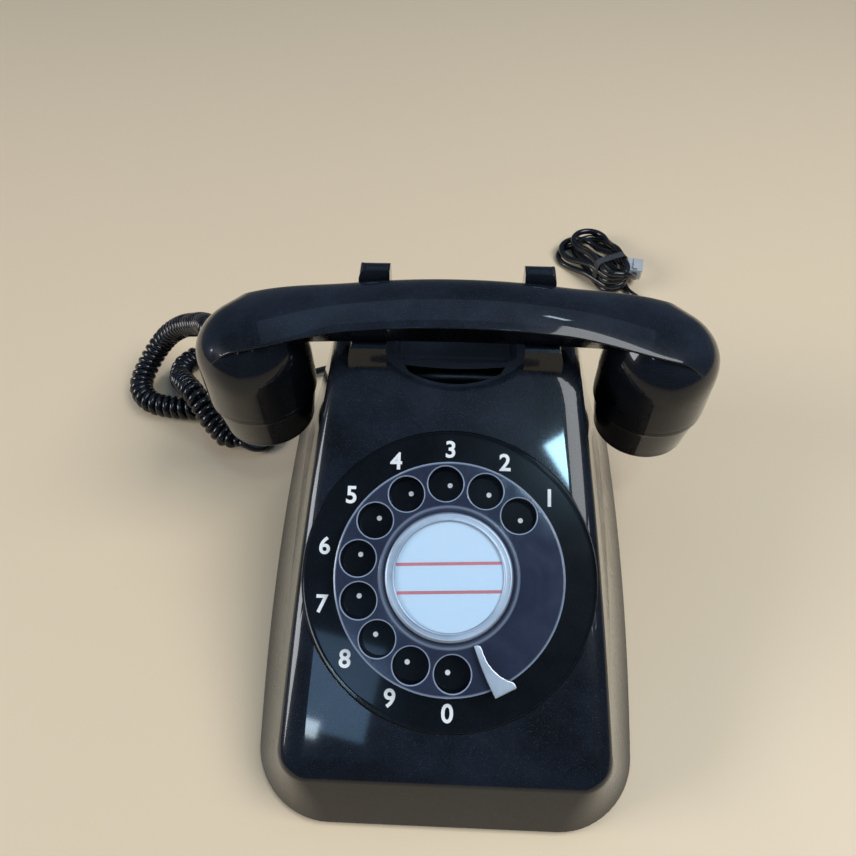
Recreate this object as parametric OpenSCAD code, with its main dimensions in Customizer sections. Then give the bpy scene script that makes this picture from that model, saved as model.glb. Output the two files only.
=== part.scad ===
// Desk telephone with a rotary dial, a lift-off handset, a bell set and a hook switch.
// Millimetres. X to the right, Y to the back, Z up; the feet stand on Z = 0.

/* [Housing] */
// Depth of the top deck, from the dial face to the back
deck_d = 67.7; // [65:0.1:71]
// Greatest width of the housing at its foot
body_w = 161; // [157:1:165]
// How much narrower the foot is at the front than at the back
front_taper = 22; // [16:1:24]
// Height of the top deck
deck_z = 95.5; // [94:0.5:97]
// Wall of the moulded housing
wall = 2.6; // [2.2:0.1:3]
// Gap between the rim of the housing and the table
rim_gap = 3; // [2.5:0.5:4]
// Tilt of the dial face from the horizontal
face_tilt = 26.75; // [26:0.25:27.5]
// Height of the edge between the front wall and the dial face
lip_z = 27.2; // [26:0.2:28]
// How far the front wall leans back at that edge
lip_set = 9.8; // [7:0.2:12]
// Lean of the side walls, mm of width a side per mm of height
side_lean = 0.28; // [0.26:0.01:0.3]
// Extra flare of the side walls at the foot
side_flare = 5; // [4:0.5:6]
// Radius of the deck's rear edge
back_round = 16; // [12:1:18]

/* [Cradle] */
// Distance of each rail's centre from the middle
rail_x = 34; // [33:0.5:35]
// Width of a rail at its foot
rail_w = 17; // [15:0.5:18]
// Height of the rails' seat over the deck, where the handset rests
rail_h = 8.5; // [7.5:0.5:9.5]
// Height of the horns over that seat
horn_h = 15.5; // [13:0.5:17]
// Radius of the carrying scoop's edge in the dial face
scoop_r = 41; // [39:1:43]
// Distance along the face from that edge up to the deck
scoop_edge = 8.15; // [7:0.05:9]
// Radius of the hook switch plungers
plunger_r = 3; // [2.5:0.1:3.5]
// Travel of the plungers when the handset is lifted
plunger_travel = 6; // [5:0.5:6]

/* [Handset] */
// Gap between the housing's side and the foot of a cap
cup_gap = 1; // [0.6:0.1:2]
// Radius of the cups
cup_r = 23.5; // [23:0.1:23.8]
// Thickness of the handle at its middle
grip_h = 17.15; // [16:0.05:18.5]
// Drop of the back from the middle to above the cups
hs_arch = 11.5; // [10:0.5:12]
// Width of the handle
grip_w = 28; // [26:0.5:30]
// Drop from the rails' seat to the joint between cup and cap
seam_drop = 33; // [32:0.5:34]
// Height of a cap below that joint
cap_h = 21.5; // [20:0.5:22]
// Distance from the face's upper edge back to the handset's middle
cradle_set = 13.2; // [12:0.1:14]

/* [Dial] */
// Distance along the face from its lower edge to the dial's centre
face_up = 71.3; // [70:0.1:72]
// Radius of the number plate
plate_r = 55.3; // [54.5:0.1:56]
// Radius of the finger wheel
wheel_r = 42.5; // [41.5:0.1:43]
// Thickness of the finger wheel
wheel_t = 2; // [1.6:0.1:2.4]
// Height of the finger wheel's top over the face
wheel_h = 6.7; // [6.4:0.1:7.2]
// Radius of the circle through the finger holes
hole_ring_r = 34.1; // [33.7:0.1:34.4]
// Diameter of a finger hole
hole_d = 13.2; // [12.6:0.1:13.6]
// Radius of the number ring
digit_r = 48.2; // [47.8:0.1:48.6]
// Height of a numeral
digit_h = 6.6; // [6:0.1:7]
// Outer radius of the centre ring
ring_r = 23.4; // [23:0.1:24]
// Width of the centre ring
ring_w = 3.5; // [3:0.1:4]
// Angle of the finger stop from the right-hand side
stop_angle = -63; // [-65:1:-62]

/* [Gears] */
// Teeth of the main gear
main_teeth = 84; // [84:1:84]
// Teeth of the cam pinion
cam_teeth = 12; // [12:1:12]
// Teeth of the governor wheel
gov_wheel_teeth = 40; // [40:1:40]
// Teeth of the governor pinion
gov_teeth = 8; // [8:1:8]
// Module of the main gear pair
main_module = 0.6; // [0.58:0.01:0.61]
// Module of the governor gear pair
gov_module = 0.5; // [0.48:0.01:0.52]

/* [Base] */
// Thickness of the steel base plate
base_t = 1.2; // [1:0.1:1.5]
// Radius of a rubber foot
foot_r = 8; // [6:0.5:9]
// Radius of the left gong
gong_l_r = 27; // [25:0.5:28]
// Radius of the right gong
gong_r_r = 24; // [22:0.5:25]
// Height of a gong
gong_h = 15; // [13:0.5:16]

/* [Cords] */
// Outer diameter of the curly cord
coil_d = 12.5; // [12:0.1:13]
// Diameter of the cords
cord_d = 4; // [3.8:0.1:4.2]

/* [Hidden] */
$fn = 48;
fit_gap = 0.3;      // between pieces that move apart
seat_gap = 0.05;    // between pieces of one body
run_gap = 0.05;     // radial play of a shaft in its bearing

// Housing, derived
half_d = tenth(lip_set + (deck_z - lip_z) / tan(face_tilt) + deck_d) / 2;
lip_y = -half_d + lip_set;
face_l = (deck_z - lip_z) / sin(face_tilt);
dial_y = lip_y + face_up * cos(face_tilt);
dial_z = lip_z + face_up * sin(face_tilt);
widest_y = 60;
flare_h = 12;
back_lean = 0.1;
corner_foot = 27;
corner_face = 9;
corner_back = 30;
side_round = 6;
lip_round = 1.2;
face_end_y = dial_y + (deck_z - dial_z) / tan(face_tilt);
floor_z = rim_gap + 0.4 + base_t;        // top of the base plate
plate_edge_gap = 0.4;
foot_x = body_w / 2 - 22;
foot_y = half_d - 24;

// Cradle, derived
seat_z = deck_z + rail_h;
horn_z = seat_z + horn_h;
hs_y = tenth(face_end_y + cradle_set);
scoop_up = tenth(face_l - face_up - scoop_edge);
rail_in = rail_x - rail_w / 2;
rail_out = rail_x + rail_w / 2;
horn_in = rail_in;
horn_out = rail_out - 3;
horn_t = 11;
seat_front = hs_y - grip_w / 2 + 5.5;
plunger_x = rail_x - 1;
scoop_half = rail_in + 1.5;

// Dial, derived
spacing = 180 * cam_teeth / main_teeth;  // half a turn of the two-lobed cam
digit_start = 39.4;
hole_start = digit_start + 2.8;
wheel_turn = 13 * spacing;
plate_seat = 1;
plate_top = 0.5;
plate_hole_r = 10;
opening_r = plate_r - 3.8;
mark_t = 0.15;
card_r = ring_r - ring_w + 0.3;
spindle_r = 3;
dial_frame_r = opening_r - 3.5;
frame_low = -7;
boss_low = -14;
gear_top = -16;
gear_t = 1.4;
gov_gear_top = -19;
bridge_top = -22.4;
bridge_t = 1.6;
main_pitch = main_module * main_teeth / 2;
cam_pitch = main_module * cam_teeth / 2;
gov_wheel_pitch = gov_module * gov_wheel_teeth / 2;
gov_pitch = gov_module * gov_teeth / 2;
cam_angle = -25;
cam_at = (main_pitch + cam_pitch) * [cos(cam_angle), sin(cam_angle)];
gov_angle = -100;
gov_at = cam_at + (gov_wheel_pitch + gov_pitch) * [cos(gov_angle), sin(gov_angle)];
cam_shaft_r = 1.2;
gov_shaft_r = 1;

// Handset, derived
seam_z = seat_z - seam_drop;
cap_top_r = cup_r - 0.2;
cap_low_r = cup_r - 3.5;
cap_low_z = seam_z - cap_h;
cup_x = tenth(side_x(hs_y, cap_low_z, 0) + cup_gap + cap_low_r);
cup_bore = cup_r - 3;
cup_straight = 13;
grip_edge = 3;
grip_low = seat_z + 0.35;                // underside of the handle on the rails
hs_top = grip_low + grip_h;
dome_top = hs_top - hs_arch;
wire_z = grip_low + 5.65;
grip_low_half = 8;
handle_wire_r = 3;
cap_neck_r = cup_bore - 0.1;
cap_in_r = cap_neck_r - 1.7;
cap_seat = cap_h - 9.5;
capsule_r = cap_in_r - 0.2;
exit_angle = 136;                        // where the cord leaves the left cup, seen from above
exit_z = seam_z + 7;

// Inside, derived
hook_pin_y = hs_y + 14;
hook_pin_z = deck_z - 33.5;
plunger_low = hook_pin_z + 1.6;
upright_x = 42;
gong_y = tenth(dial_y + 63);
gong_gap = 8.4;
gong_low = 16;
ringer_y = gong_y + 38;
clapper_y = ringer_y - 6;
armature_low = floor_z + 18.6;
volume_x = -20;
volume_y = gong_y - 38;
network_y = gong_y - 45;
capacitor_x = 36.5 - body_w / 2;
network_pins = [for (x = [14, 22, 30, 38, 46], y = [-12, 12]) [x, network_y + y, 0]];
boss_front_y = -half_d + 18.5;
boss_back_y = hs_y + 38;

// Routes of the cords, chosen by hand
coil_route = [[-112.5, 81.5, 69], [-121, 97, 60], [-133, 110, 48], [-147, 121, 35], [-160, 125, 22],
    [-169, 118, 12], [-172, 104, 6.8], [-164, 93, 6.5], [-150, 89, 6.5], [-136, 89, 6.5],
    [-123, 96, 6.5], [-118, 110, 6.5], [-127, 125, 6.5], [-141, 130, 6.5], [-151, 121, 6.8],
    [-150, 108, 10], [-143, 97, 17], [-134, 86, 20], [-126, 77, 13], [-117, 70, 6.8],
    [-108, 66, 6.5]];
coil_end_route = [[-108, 66, 6.5], [-102, 65, 4], [-96, 68, 2.4], [-93, 76, 2.3], [-94, 90, 2.3],
    [-92, 105, 2.3], [-84, 117, 3], [-68, 122, 6], [-50, 121.5, 9], [-42.5, 116.5, 10],
    [-42, 111.5, 10]];
line_route = [[42, 111.5, 10], [42, 117, 9], [45, 126, 5], [54, 138, 2.4], [72, 150, 2.3],
    [94, 158, 2.3], [109, 168, 2.3], [115, 180, 2.5], [111, 190, 4], [102.8, 198.2, 6]];
cord_exits = [coil_end_route[len(coil_end_route) - 1], line_route[0]];
hank_tied_end = [97, 204];
hank_loop_end = [83, 233];
hank_h = 13;

// ---- numbers and profiles ----

function tenth(v) = round(10 * v) / 10;
function wide(y) =
    body_w / 2 - front_taper / 2 * pow(max(0, widest_y - y) / (widest_y + half_d), 2);
function drop(h) = side_lean * h + side_flare * (1 - exp(-h / flare_h));
function round_in(z, top, r) =
    z > top - r ? r - sqrt(max(0, r * r - pow(z - top + r, 2))) : 0;
function face_y(z) = dial_y + (z - dial_z) / tan(face_tilt);
function wall_y(z) = -half_d + lip_set * (z - rim_gap) / (lip_z - rim_gap);
function front_y(z, t) =
    t == 0 ? max(wall_y(z), face_y(z)) + lip_round * max(0, 1 - abs(z - lip_z) / 2.4)
    : max(wall_y(z) + 1.08 * t, face_y(z + t / cos(face_tilt)));
function back_y(z, t) =
    half_d - back_lean * (z - rim_gap) - round_in(z, deck_z - t, back_round - t) - t;
function side_x(y, z, t) =
    wide(y) - drop(z - rim_gap) - round_in(z, deck_z - t, side_round - t) - 1.05 * t;
function corner_front(z) =
    corner_foot + (corner_face - corner_foot) * min(1, max(0, z - rim_gap) / (lip_z - rim_gap));

// One level outline of the housing, inset by t
function outline(z, t) =
    let (yf = front_y(z, t), yb = back_y(z, t), rf = corner_front(z) - t, rb = corner_back - t,
        right = concat(
            [for (a = [0 : 15 : 90]) let (y = yf + rf * (1 - cos(a)))
                [side_x(y, z, t) - rf * (1 - sin(a)), y, z]],
            [for (i = [1 : 5]) let (y = yf + rf + (yb - rb - yf - rf) * i / 6)
                [side_x(y, z, t), y, z]],
            [for (b = [90 : -15 : 0]) let (y = yb - rb * (1 - cos(b)))
                [side_x(y, z, t) - rb * (1 - sin(b)), y, z]]))
    concat(right, [for (i = [len(right) - 1 : -1 : 0]) [-right[i][0], right[i][1], z]]);

function flat(points) = [for (p = points) [p[0], p[1]]];

// Closed skin through a stack of rings with equal counts
module loft(rings) {
    n = len(rings[0]);
    m = len(rings);
    sides = [for (k = [0 : m - 2], i = [0 : n - 1]) let (j = (i + 1) % n)
        each [[k * n + i, (k + 1) * n + i, (k + 1) * n + j], [k * n + i, (k + 1) * n + j, k * n + j]]];
    low = [[for (i = [0 : n - 1]) i]];
    top = [[for (i = [n - 1 : -1 : 0]) (m - 1) * n + i]];
    polyhedron([for (r = rings) each r], concat(low, sides, top), convexity = 6);
}

// Points of a smooth curve through the given ones, with some steps between each two
function curve(p, steps) =
    concat([for (i = [0 : len(p) - 2], s = [0 : steps - 1])
        let (t = s / steps, a = p[max(0, i - 1)], b = p[i], c = p[i + 1],
            d = p[min(len(p) - 1, i + 2)])
        (2 * b + (c - a) * t + (2 * a - 5 * b + 4 * c - d) * t * t
            + (3 * b - a - 3 * c + d) * t * t * t) / 2], [p[len(p) - 1]]);

// Round tube along a curve that is nowhere upright
module tube(points, r, sides) {
    n = len(points);
    rings = [for (i = [0 : n - 1])
        let (t = points[min(n - 1, i + 1)] - points[max(0, i - 1)],
            across = cross(t, [0, 0, 1]) / norm(cross(t, [0, 0, 1])),
            upward = cross(across, t) / norm(cross(across, t)))
        [for (k = [0 : sides - 1]) let (a = -360 * k / sides)
            points[i] + r * (cos(a) * across + sin(a) * upward)]];
    loft(rings);
}

module on_face() { translate([0, dial_y, dial_z]) rotate([face_tilt, 0, 0]) children(); }
module along_x(length) {
    translate([-length / 2, 0, 0]) rotate([90, 0, 90]) linear_extrude(length) children();
}
module at_cup(side) { translate([side * cup_x, hs_y, 0]) children(); }
module disc(r, low, top) { translate([0, 0, low]) cylinder(h = top - low, r = r); }
module ring(outer, inner, low, top) {
    difference() {
        disc(outer, low, top);
        disc(inner, low - 1, top + 1);
    }
}
module box(low, high) { translate(low) cube(high - low); }
module rod(a, b, r) {
    d = b - a;
    translate(a) rotate([0, acos(d[2] / norm(d)), atan2(d[1], d[0])]) cylinder(h = norm(d), r = r);
}

// Spur gear with straight-flanked teeth that leave room for the mating ones
module gear(teeth, mod, thick, bore, phase) {
    pitch = mod * teeth / 2;
    step = 360 / teeth;
    tip = pitch + 0.75 * mod;
    root = pitch - 1.1 * mod;
    difference() {
        linear_extrude(thick)
            polygon([for (i = [0 : teeth - 1]) let (a = phase + i * step) each [
                root * [cos(a - 0.33 * step), sin(a - 0.33 * step)],
                tip * [cos(a - 0.12 * step), sin(a - 0.12 * step)],
                tip * [cos(a + 0.12 * step), sin(a + 0.12 * step)],
                root * [cos(a + 0.33 * step), sin(a + 0.33 * step)]]]);
        translate([0, 0, -1]) cylinder(h = thick + 2, r = bore);
    }
}

// ---- housing and base ----

function shell_levels(t) =
    let (top = deck_z - t, start = t == 0 ? rim_gap : rim_gap - 1)
    concat([start, rim_gap + 4, rim_gap + 9, rim_gap + 15, lip_z - 6, lip_z - 2.4],
        [lip_z, lip_z + 2.4],
        [for (i = [1 : 7]) lip_z + 2.4 + (top - back_round - lip_z - 2.4) * i / 7],
        [top - 11, top - 7.5, top - 5, top - 3, top - 1.5, top - 0.5, top]);

// The carrying scoop is a round bowl that opens into a trough behind the handle
module scoop_bowl(grow) {
    ramp = 42;
    deep = 26;
    intersection() {
        on_face() translate([0, scoop_up + scoop_r, -deep - 1.35 * grow])
            cylinder(h = deep + 30, r1 = scoop_r - deep / tan(ramp), r2 = scoop_r + 30 / tan(ramp),
                $fn = 96);
        box([-scoop_half - grow, 0, 0], [scoop_half + grow, half_d, horn_z]);
    }
}
module scoop_trough(grow) {
    along_x(2 * (scoop_half + grow) - 4) polygon([[hs_y - 6 - grow, horn_z],
        [hs_y - 6 - grow, deck_z - 3], [hs_y + 4 - grow, deck_z - 16 - grow],
        [hs_y + 15 - grow, deck_z - 24 - grow], [hs_y + 33 + grow, deck_z - 24 - grow],
        [half_d - 12 + grow, deck_z - 18 - grow], [half_d + 6, deck_z - 14 - grow],
        [half_d + 6, horn_z]]);
}

module rail(side) {
    lean = (horn_z - seat_z) / (hs_top - grip_edge - grip_low) * (grip_w / 2 - grip_low_half);
    slant_y = hs_y + grip_low_half + 2.5;
    front_view = [[rail_in, deck_z - 16], [rail_out, deck_z - 16], [rail_out - 0.3, deck_z + 4],
        [rail_out - 1.2, seat_z - 0.5], [horn_out, seat_z + 3], [horn_out, horn_z - 4],
        [horn_out - 1.2, horn_z - 1.2], [horn_out - 4, horn_z], [horn_in + 4, horn_z],
        [horn_in + 1.2, horn_z - 1.2], [horn_in, horn_z - 4]];
    side_view = [[face_end_y, deck_z - 16], [face_end_y, deck_z - 0.5], [seat_front - 2.6, seat_z - 1],
        [seat_front - 1.6, seat_z + 0.8], [seat_front - 0.4, seat_z + 1], [seat_front + 0.6, seat_z],
        [slant_y, seat_z], [slant_y + 0.4, seat_z + 0.6], [slant_y + lean - 0.4, horn_z - 1.6],
        [slant_y + lean + 1, horn_z - 0.3], [slant_y + lean + 3, horn_z],
        [slant_y + lean + 6, horn_z - 1], [slant_y + lean + 8, horn_z - 3.5],
        [slant_y + horn_t + 4, seat_z], [slant_y + horn_t + 8, deck_z - 5],
        [slant_y + horn_t + 9, deck_z - 16]];
    intersection() {
        along_x(2 * rail_out + 4) polygon(side_view);
        translate([0, half_d, 0]) rotate([90, 0, 0]) linear_extrude(half_d)
            polygon([for (p = front_view) [side * p[0], p[1]]]);
    }
}

module boss(y) {
    top = y < 0 ? face_height(y - 4) - 0.4 * wall : deck_z - 24 - 0.5 * wall;
    translate([0, y, 0]) difference() {
        disc(4, floor_z, top);
        disc(1.65, floor_z - 1, floor_z + 14);
    }
}
function face_height(y) = dial_z + (y - dial_y) * tan(face_tilt);

module housing() {
    color("#101014") {
        difference() {
            union() {
                loft([for (z = shell_levels(0)) outline(z, 0)]);
                rail(-1);
                rail(1);
            }
            difference() {
                difference() {
                    loft([for (z = shell_levels(wall)) outline(z, wall)]);
                    scoop_bowl(wall);
                }
                scoop_trough(wall);
            }
            scoop_bowl(0);
            scoop_trough(0);
            on_face() {
                disc(plate_r + seat_gap, -plate_seat, 8);
                disc(opening_r, -12, 8);
            }
            for (side = [-1, 1]) translate([side * plunger_x, hs_y, 0])
                disc(plunger_r + run_gap, deck_z - 16, seat_z + 8);
            for (exit = cord_exits) translate([exit[0], half_d + 2, exit[2]]) rotate([90, 0, 0])
                cylinder(h = 12, r = 3.4);
        }
        boss(boss_front_y);
        boss(boss_back_y);
    }
}

module base_plate() {
    color("#8f9296") difference() {
        translate([0, 0, floor_z - base_t]) linear_extrude(base_t)
            polygon(flat(outline(floor_z, wall + plate_edge_gap)));
        for (y = [boss_front_y, boss_back_y]) translate([0, y, 0]) disc(1.9, 0, floor_z + 1);
        for (i = [-3 : 3], y = [-16, 12]) translate([i * 8, gong_y + y, 0])
            box([-1.5, -8, floor_z - 3], [1.5, 8, floor_z + 1]);
        translate([volume_x, volume_y, 0]) disc(3.1, 0, floor_z + 1);
    }
}

module rubber_feet() {
    color("#26262a") for (sx = [-1, 1], sy = [-1, 1])
        translate([sx * (foot_x - (sy < 0 ? front_taper / 4 : 0)), sy * foot_y, 0])
            disc(foot_r, 0, floor_z - base_t);
}

module housing_screws() {
    color("#b9bcc0") for (y = [boss_front_y, boss_back_y]) translate([0, y, 0]) difference() {
        union() {
            disc(1.6, floor_z - base_t - 0.2, floor_z + 10);
            disc(3.4, floor_z - base_t - 1.8, floor_z - base_t);
        }
        box([-3.5, -0.4, floor_z - base_t - 2.8], [3.5, 0.4, floor_z - base_t - 1.1]);
    }
}

// ---- dial ----

module number_plate() {
    color("#141418") on_face() difference() {
        disc(plate_r, -plate_seat, plate_top);
        disc(plate_hole_r, -5, 5);
        rotate(stop_angle) box([wheel_r + 1.2, -2.7, -5], [wheel_r + 2.4, 4.5, 5]);
    }
}

// Points of an ellipse's stretch
function bow(cx, cy, rx, ry, from, to, n) =
    [for (i = [0 : n]) let (a = from + (to - from) * i / n) [cx + rx * cos(a), cy + ry * sin(a)]];

// Outline of an open stroke of even width
function stroke_edge(p, w) = [for (i = [0 : len(p) - 1])
    let (t = p[min(len(p) - 1, i + 1)] - p[max(0, i - 1)], u = t / norm(t)) p[i] + w * [-u[1], u[0]]];
module stroke(p, w) {
    back = stroke_edge(p, -w / 2);
    polygon(concat(stroke_edge(p, w / 2), [for (i = [len(p) - 1 : -1 : 0]) back[i]]));
}
module hoop(cx, cy, rx, ry, w) {
    difference() {
        polygon(bow(cx, cy, rx + w / 2, ry + w / 2, 0, 345, 23));
        polygon(bow(cx, cy, rx - w / 2, ry - w / 2, 0, 345, 23));
    }
}

// Numeral of unit height, centred
module numeral(n) {
    w = 0.17;
    if (n == 0) hoop(0, 0, 0.23, 0.415, w);
    if (n == 1) stroke([[0, -0.5], [0, 0.5]], w);
    if (n == 2) stroke(concat(bow(0, 0.19, 0.22, 0.225, 165, -40, 10), [[-0.2, -0.4]]), w);
    if (n == 2) stroke([[-0.3, -0.415], [0.3, -0.415]], w);
    if (n == 3) stroke(bow(-0.02, 0.21, 0.21, 0.205, 160, -85, 11), w);
    if (n == 3) stroke(bow(-0.02, -0.19, 0.24, 0.225, 85, -160, 11), w);
    if (n == 4) stroke([[0.13, -0.5], [0.13, 0.5]], w);
    if (n == 4) stroke([[0.13, 0.42], [-0.25, -0.12]], 0.8 * w);
    if (n == 4) stroke([[-0.32, -0.19], [0.33, -0.19]], w);
    if (n == 5) stroke([[-0.23, 0.415], [0.24, 0.415]], w);
    if (n == 5) stroke([[-0.2, 0.46], [-0.22, 0.02]], w);
    if (n == 5) stroke(bow(-0.02, -0.16, 0.25, 0.255, 140, -150, 13), w);
    if (n == 6) rotate(180) nine(w);
    if (n == 7) stroke([[-0.27, 0.415], [0.27, 0.415]], w);
    if (n == 7) stroke([[0.22, 0.4], [-0.08, -0.5]], w);
    if (n == 8) hoop(0, 0.205, 0.19, 0.2, w);
    if (n == 8) hoop(0, -0.2, 0.23, 0.215, w);
    if (n == 9) nine(w);
}
module nine(w) {
    hoop(0, 0.17, 0.23, 0.245, w);
    stroke(concat([[0.23, 0.17]], bow(-0.02, -0.05, 0.25, 0.365, 20, -115, 9)), w);
}

module numerals() {
    color("#f2f2ee") on_face() for (i = [0 : 9]) let (a = digit_start + i * spacing)
        translate([digit_r * cos(a), digit_r * sin(a), plate_top])
            linear_extrude(mark_t) scale(digit_h) numeral((i + 1) % 10);
}

module finger_dots() {
    color("#f2f2ee") on_face() for (i = [0 : 9]) let (a = digit_start + i * spacing)
        translate([hole_ring_r * cos(a), hole_ring_r * sin(a), 0])
            disc(0.95, plate_top, plate_top + mark_t);
}

// Bent arm that stands outside the wheel and reaches over it
module finger_stop() {
    low = wheel_h + 1.2;
    thick = 1.1;
    foot = wheel_r + 1.3;
    color("#c9ccd1") on_face() rotate(stop_angle) {
        translate([0, 0, low]) linear_extrude(thick) polygon([[25.6, -2.4], [26.6, -0.3], [30, -0.6],
            [33, -0.5], [36, 0.2], [38.8, 1.5], [40.8, 3.1], [42.2, 4.9], [foot + 1, 5.1],
            [foot + 1, -3.3], [32, -3.2]]);
        box([foot, -2.6, -plate_seat - 3], [foot + 1, 4.4, low]);
    }
}

module finger_wheel() {
    low = wheel_h - wheel_t;
    color([0.75, 0.74, 0.8, 0.4]) on_face() difference() {
        rotate_extrude($fn = 120) polygon([[spindle_r, low - 2.5], [spindle_r + 4, low - 2.5],
            [spindle_r + 6, low], [wheel_r - 1.6, low], [wheel_r - 1.6, low - 1], [wheel_r, low - 1],
            [wheel_r, wheel_h - 0.6], [wheel_r - 0.6, wheel_h], [ring_r + 3.6, wheel_h],
            [ring_r + 3.2, wheel_h + 0.4], [ring_r + 2.6, wheel_h + 0.4], [ring_r + 2.2, wheel_h],
            [6.2, wheel_h], [6.2, wheel_h - 1.1], [spindle_r, wheel_h - 1.1]]);
        for (i = [0 : 9]) let (a = hole_start + i * spacing)
            translate([hole_ring_r * cos(a), hole_ring_r * sin(a), 0])
                disc(hole_d / 2, low - 3, wheel_h + 3);
    }
}

module centre_ring() {
    inner = ring_r - ring_w;
    color("#a9abae") on_face() rotate_extrude($fn = 96) polygon([[card_r + seat_gap, wheel_h],
        [ring_r, wheel_h], [ring_r, wheel_h + 0.7], [ring_r - 0.7, wheel_h + 1.4],
        [inner + 0.5, wheel_h + 1.4], [inner, wheel_h + 1], [inner, wheel_h + 0.85],
        [card_r + seat_gap, wheel_h + 0.85]]);
}

module number_card() { color("#e9eaec") on_face() disc(card_r, wheel_h, wheel_h + 0.3); }

module card_stripes() {
    color("#a02030") on_face() intersection() {
        disc(card_r - 1.2, wheel_h + 0.3, wheel_h + 0.36);
        for (v = [5.9, -4.1]) box([-card_r, v - 0.45, wheel_h + 0.2], [card_r, v + 0.45, wheel_h + 0.5]);
    }
}

module card_window() {
    color([0.9, 0.9, 0.95, 0.3]) on_face() disc(card_r, wheel_h + 0.4, wheel_h + 0.82);
}

module wheel_screw() {
    color("#c2c4c6") on_face() difference() {
        union() {
            disc(5.6, wheel_h - 1.08, wheel_h - 0.1);
            disc(1.5, wheel_h - 8, wheel_h - 1);
        }
        box([-6, -0.5, wheel_h - 0.6], [6, 0.5, wheel_h + 1]);
    }
}

module main_spindle() {
    color("#b08d4a") on_face() difference() {
        disc(spindle_r - 0.02, bridge_top - bridge_t, wheel_h - 1.12);
        disc(1.52, wheel_h - 9, wheel_h + 1);
    }
}

module main_gear() {
    color("#c8a24e") on_face() translate([0, 0, gear_top - gear_t])
        gear(main_teeth, main_module, gear_t, spindle_r - 0.01, cam_angle);
}

module dial_frame() {
    color("#8a8d90") on_face() {
        difference() {
            union() {
                ring(dial_frame_r, dial_frame_r - 2.5, frame_low + 3, -plate_seat);
                disc(dial_frame_r, frame_low, frame_low + 3);
                disc(8, boss_low, frame_low + 1);
                for (a = [80, 160, 240]) rotate(a) translate([40, 0, 0]) disc(2.5, bridge_top, frame_low);
            }
            disc(spindle_r + run_gap, -40, 10);
            disc(plate_hole_r - 2, frame_low + 1.5, 10);
            for (p = [cam_at, gov_at]) translate([p[0], p[1], 0])
                disc((p == cam_at ? cam_shaft_r : gov_shaft_r) + run_gap, -40, 10);
            for (a = [80, 160, 240]) rotate(a) translate([40, 0, 0]) disc(1.1, bridge_top - 1, bridge_top + 6);
        }
    }
}

module dial_bridge() {
    color("#9a9da0") on_face() difference() {
        translate([0, 0, bridge_top - bridge_t]) linear_extrude(bridge_t) hull() {
            for (a = [80, 160, 240]) rotate(a) translate([40, 0]) circle(r = 4.5, $fn = 32);
            translate(cam_at) circle(r = 5, $fn = 32);
            translate(gov_at) circle(r = 5, $fn = 32);
        }
        disc(spindle_r + run_gap, -60, 10);
        translate([cam_at[0], cam_at[1], 0]) disc(cam_shaft_r + run_gap, -60, 10);
        translate([gov_at[0], gov_at[1], 0]) disc(gov_shaft_r + run_gap, -60, 10);
        for (a = [80, 160, 240]) rotate(a) translate([40, 0, 0]) disc(1.1, -60, 10);
    }
}

// Flat spiral of spring strip about the bearing boss
module mainspring() {
    turns = 4;
    first = 9.2;
    pitch = 2.4;
    thick = 0.5;
    color("#5f6468") on_face() translate([0, 0, boss_low + 0.6]) linear_extrude(6.2)
        polygon(concat(
            [for (i = [0 : 24 * turns]) let (a = 15 * i) (first + pitch * i / 24) * [cos(a), sin(a)]],
            [for (i = [24 * turns : -1 : 0]) let (a = 15 * i)
                (first - thick + pitch * i / 24) * [cos(a), sin(a)]]));
}

module at_cam() { on_face() translate([cam_at[0], cam_at[1], 0]) children(); }
module at_governor() { on_face() translate([gov_at[0], gov_at[1], 0]) children(); }

module pulse_shaft() {
    color("#b9bcc0") at_cam() disc(cam_shaft_r, bridge_top - bridge_t, frame_low + 2);
}

// Two-lobed cam: half a turn opens the contacts once
module pulse_cam() {
    color("#d8d2c0") at_cam() translate([0, 0, -15.4]) difference() {
        linear_extrude(1.2) polygon([for (a = [0 : 10 : 350])
            (3.4 + 0.9 * cos(2 * (a - 40))) * [cos(a), sin(a)]]);
        disc(cam_shaft_r + 0.01, -1, 3);
    }
}

module cam_pinion() {
    color("#c8a24e") at_cam() translate([0, 0, gear_top - gear_t])
        gear(cam_teeth, main_module, gear_t, cam_shaft_r + 0.01, 180 + cam_angle + 180 / cam_teeth);
}

module governor_wheel() {
    color("#c8a24e") at_cam() translate([0, 0, gov_gear_top - 1])
        gear(gov_wheel_teeth, gov_module, 1, cam_shaft_r + 0.01, gov_angle);
}

module governor() {
    color("#b9bcc0") at_governor() {
        disc(gov_shaft_r, bridge_top - bridge_t, frame_low + 2);
        disc(2, -12.4, -11.4);
        for (a = [0, 180]) rotate(a) {
            box([1, -0.5, -12.4], [5.6, 0.5, -11.6]);
            box([4.6, -2.2, -12.4], [6.6, 2.2, -8.6]);
        }
        translate([0, 0, gov_gear_top - 1])
            gear(gov_teeth, gov_module, 1, gov_shaft_r - 0.2, 180 + gov_angle + 180 / gov_teeth);
    }
}

module governor_cup() {
    color("#a58a55") at_governor() difference() {
        disc(8.6, -12.6, frame_low);
        disc(7.6, -20, frame_low + 1);
    }
}

// Insulated pile of contact blades beside the cam
module pulse_contacts() {
    x = cam_at[0] + 5.2;
    y = cam_at[1];
    color("#c9b37e") on_face() {
        box([x, y + 9, -16.2], [x + 5.4, y + 17, frame_low]);
        for (i = [0 : 2]) box([x + 0.2 + 1.8 * i, y - 3.6, -15.6], [x + 0.5 + 1.8 * i, y + 9.1, -12]);
    }
}

// ---- hook switch ----

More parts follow.
